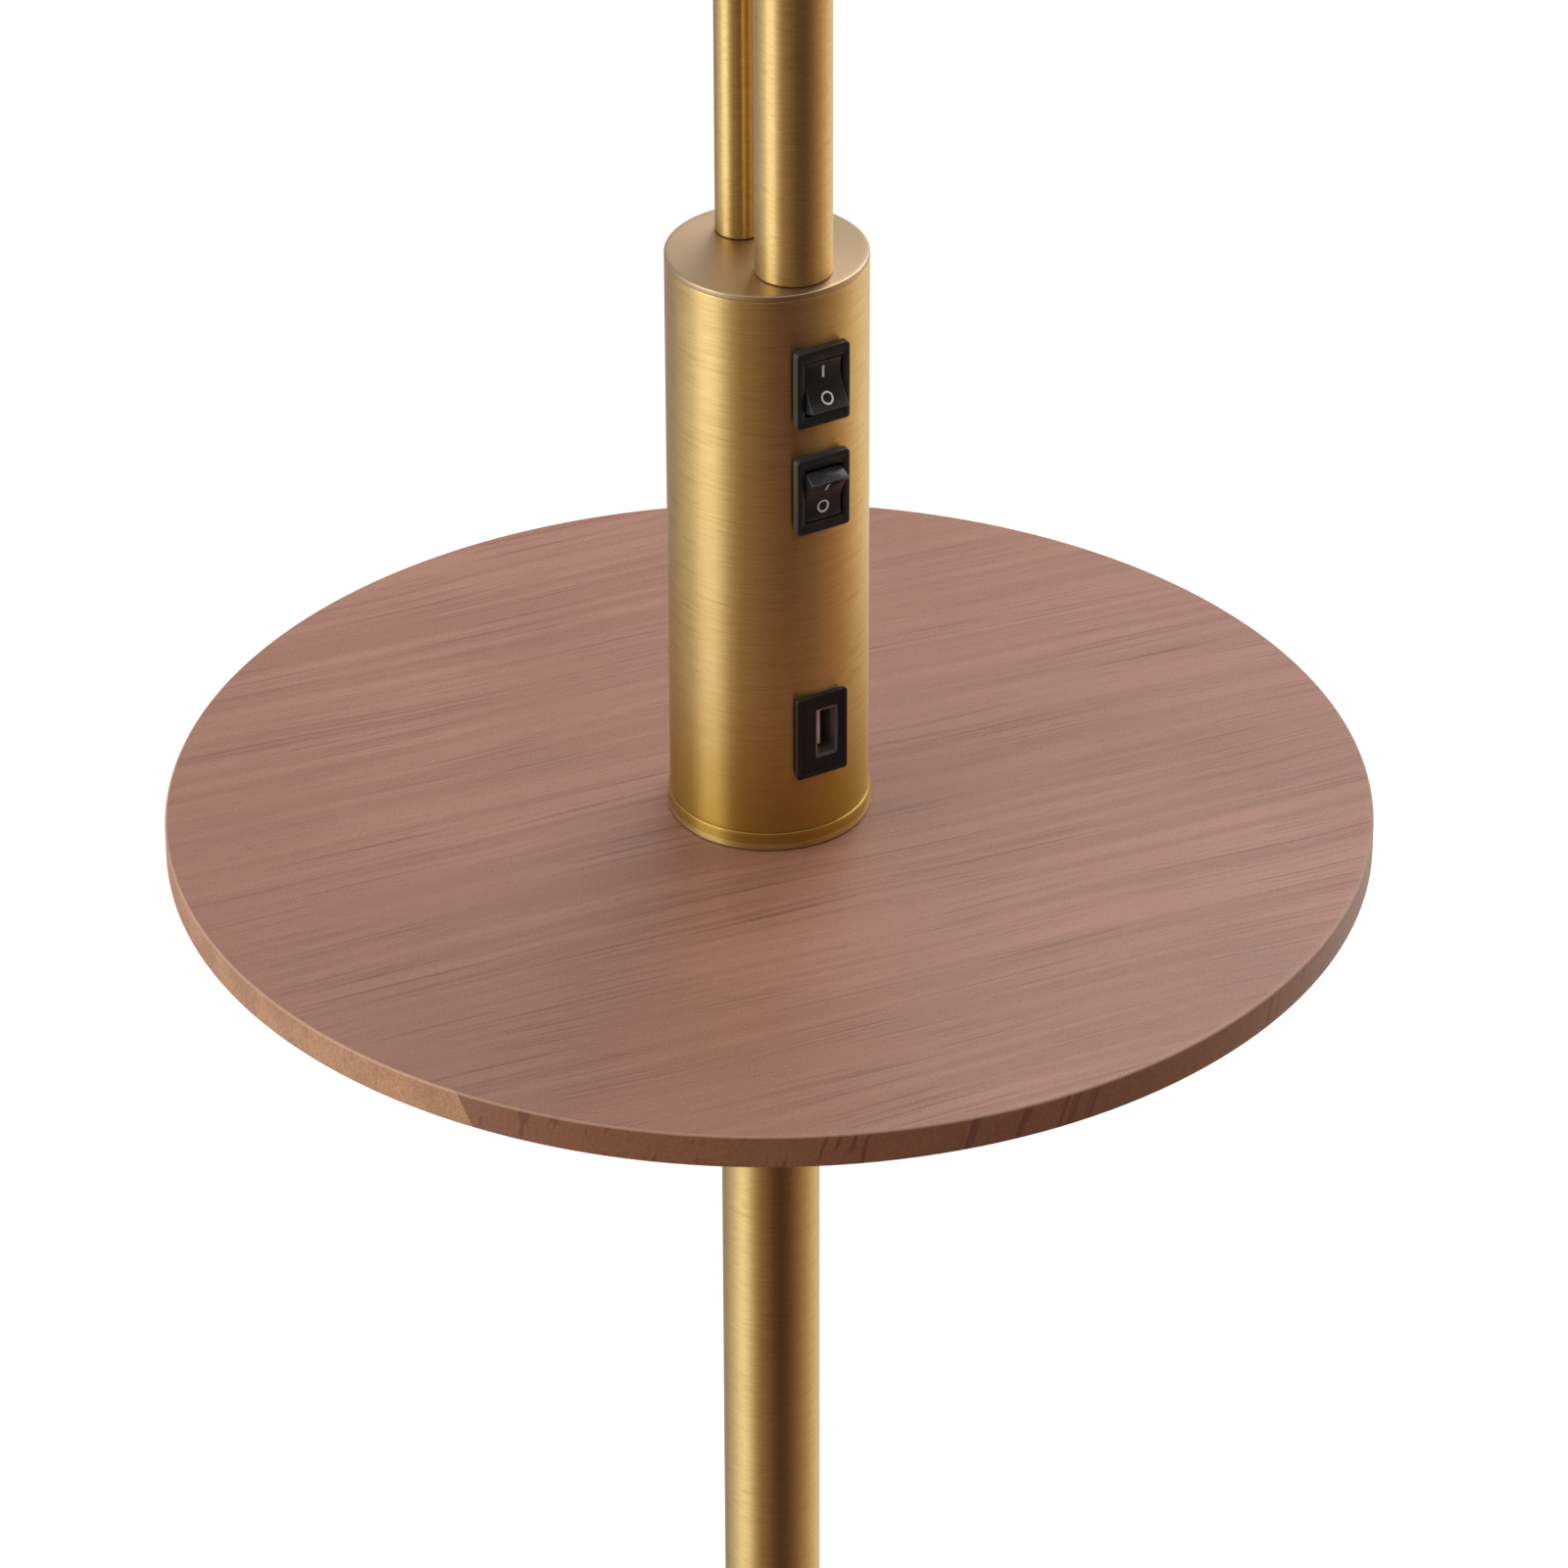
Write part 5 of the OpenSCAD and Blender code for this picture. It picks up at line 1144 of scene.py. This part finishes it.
# Pieces kept as the frame has them: weight, nuts, tube joints, leads and the charger case
kept = (
    (castIron, ("base_weight",)), (greyMatt, ("usb_case",)), (nickel, ("bulb_cap", "small_bulb_cap")),
    (zincSteel, ("base_washer", "pole_plugs", "pole_coupler", "lock_nuts", "tie_studs", "stud_nuts",
                 "main_pole_plugs", "main_coupler", "thin_pole_foot")),
    (contactBrass, ("switch_terminals", "socket_screw_shell", "socket_contact")),
    (insulation, ("wiring", "arm_lead")),
)
for material, names in kept:
    for name in names:
        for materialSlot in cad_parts[name].material_slots:
            materialSlot.material = material
print("kept pieces:", sum(len(names) for material, names in kept))

# Studio: soft light from the left, a dark side in front on the right, white floor and background
studio = {
    "worldFill": 0.9, "overheadShiny": (0.62, 0.6, 0.6), "overheadSoft": (0.93, 0.93, 0.93),
    "floorRadius": 14, "floorGlowNear": 0.31, "floorGlowFar": 0.55, "glowReach": 3.2,
    "floorPaint": (0.82, 0.82, 0.82), "floorBounce": (0.42, 0.40, 0.38),
}
lamps = {
    "keyLight": {"azimuth": -66, "height": 1.1, "distance": 2.3, "size": 1.5, "power": 14},
    "backLight": {"azimuth": 150, "height": 1.8, "distance": 1.05, "size": 0.9, "power": 7.5},
}
# Brightness of the room round the lamp as shiny metal sees it, by angle from the camera's side
ringLight = (
    (0.0, (0.62, 0.60, 0.57)), (0.13, (0.40, 0.36, 0.40)), (0.20, (0.70, 0.68, 0.70)),
    (0.26, (0.96, 0.96, 0.96)), (0.335, (1.04, 1.0, 0.93)), (0.40, (0.45, 0.345, 0.24)),
    (0.465, (0.26, 0.17, 0.11)), (0.53, (0.10, 0.055, 0.048)), (0.60, (0.10, 0.052, 0.046)),
    (0.665, (0.23, 0.155, 0.12)), (0.75, (0.60, 0.42, 0.30)), (0.855, (0.98, 0.90, 0.80)),
    (1.0, (0.62, 0.60, 0.57)),
)
studioRing, given, result = startGroup("studioRing", {"Vector": None}, {"Color": "Color"})
parts = split(studioRing, given["Vector"])
sideways = calc(studioRing, "ADD", times(studioRing, parts[0], math.cos(camAz)),
                times(studioRing, parts[1], math.sin(camAz)))
toward = calc(studioRing, "ADD", times(studioRing, parts[0], math.sin(camAz)),
              times(studioRing, parts[1], -math.cos(camAz)))
angle = calc(studioRing, "ARCTAN2", sideways, toward)
ramp = addNode(studioRing, "ValToRGB", {0: calc(studioRing, "MULTIPLY_ADD", angle, 1 / (2 * math.pi), 0.5)})
ramp.color_ramp.interpolation = "CARDINAL"
stops = ramp.color_ramp.elements
while len(stops) > 1:
    stops.remove(stops[-1])
stops[0].position, stops[0].color = ringLight[0][0], (*ringLight[0][1], 1)
for position, colour in ringLight[1:]:
    stops.new(position).color = (*colour, 1)
feed(studioRing, result, color=ramp.outputs[0])


# Rays that end in the picture, straight, through glass or off shiny metal
def seenRays(tree, rays):
    straight = calc(tree, "MAXIMUM", rays["Is Camera Ray"], rays["Is Transmission Ray"])
    return calc(tree, "MAXIMUM", straight, rays["Is Glossy Ray"])


world = bpy.context.scene.world or bpy.data.worlds.new("world")
bpy.context.scene.world = world
world.use_nodes = True
tree = world.node_tree
rays = addNode(tree, "LightPath").outputs
direction = addNode(tree, "TexCoord").outputs["Generated"]
room = useGroup(tree, studioRing, {"Vector": direction})["Color"]
overhead = spread(tree, split(tree, direction)[2], 0.5, 0.9)
shiny = blendColours(tree, overhead, room, studio["overheadShiny"])
soft = blendColours(tree, overhead, room, studio["overheadSoft"])
white = blendColours(tree, rays["Is Glossy Ray"], (1.0, 1.0, 1.0), shiny)
dimmed = blendColours(tree, 1.0, soft, (studio["worldFill"],) * 3, "MULTIPLY")
light = blendColours(tree, seenRays(tree, rays), dimmed, white)
tree.links.new(light, tree.nodes["Background"].inputs["Color"])

startClean()
bpy.ops.mesh.primitive_circle_add(vertices=96, radius=studio["floorRadius"], fill_type="NGON",
                                  location=(0, 0, -0.1 * mm))  # just clear of the pad's underside
applyMoves()
floor = rename("floor")
floorWhite, tree, shader = startMaterial("floorWhite", roughness=0.9)
rays = addNode(tree, "LightPath").outputs
place = addNode(tree, "TexCoord").outputs["Object"]
room = useGroup(tree, studioRing, {"Vector": place})["Color"]
# The floor glows just enough to reach white where no shadow falls, more where the lamps fade
away = vectorCalc(tree, "LENGTH", place)
glow = spread(tree, away, 0.0, studio["glowReach"], studio["floorGlowNear"], studio["floorGlowFar"])
paint = blendColours(tree, rays["Is Glossy Ray"], studio["floorPaint"], (0.0, 0.0, 0.0))
feed(tree, shader, baseColor=blendColours(tree, rays["Is Diffuse Ray"], paint, studio["floorBounce"]),
     emissionColor=blendColours(tree, rays["Is Glossy Ray"], glow, room),
     emissionStrength=seenRays(tree, rays))
floor.data.materials.append(floorWhite)

for name, spot in lamps.items():  # round soft lamps, turned to the shelf
    lamp = bpy.data.lights.new(name, "AREA")
    lamp.shape, lamp.size, lamp.energy = "DISK", spot["size"], spot["power"]
    lampObject = bpy.data.objects.new(name, lamp)
    bpy.context.scene.collection.objects.link(lampObject)
    angle = math.radians(spot["azimuth"]) + camAz
    lampObject.location = (math.sin(angle) * spot["distance"], -math.cos(angle) * spot["distance"],
                           spot["height"])
    way = Vector((0, 0, photoView["shelfTop"] * mm)) - lampObject.location
    lampObject.rotation_euler = way.to_track_quat("-Z", "Y").to_euler()
bpy.context.scene.view_settings.view_transform = "Standard"
print("studio ready")
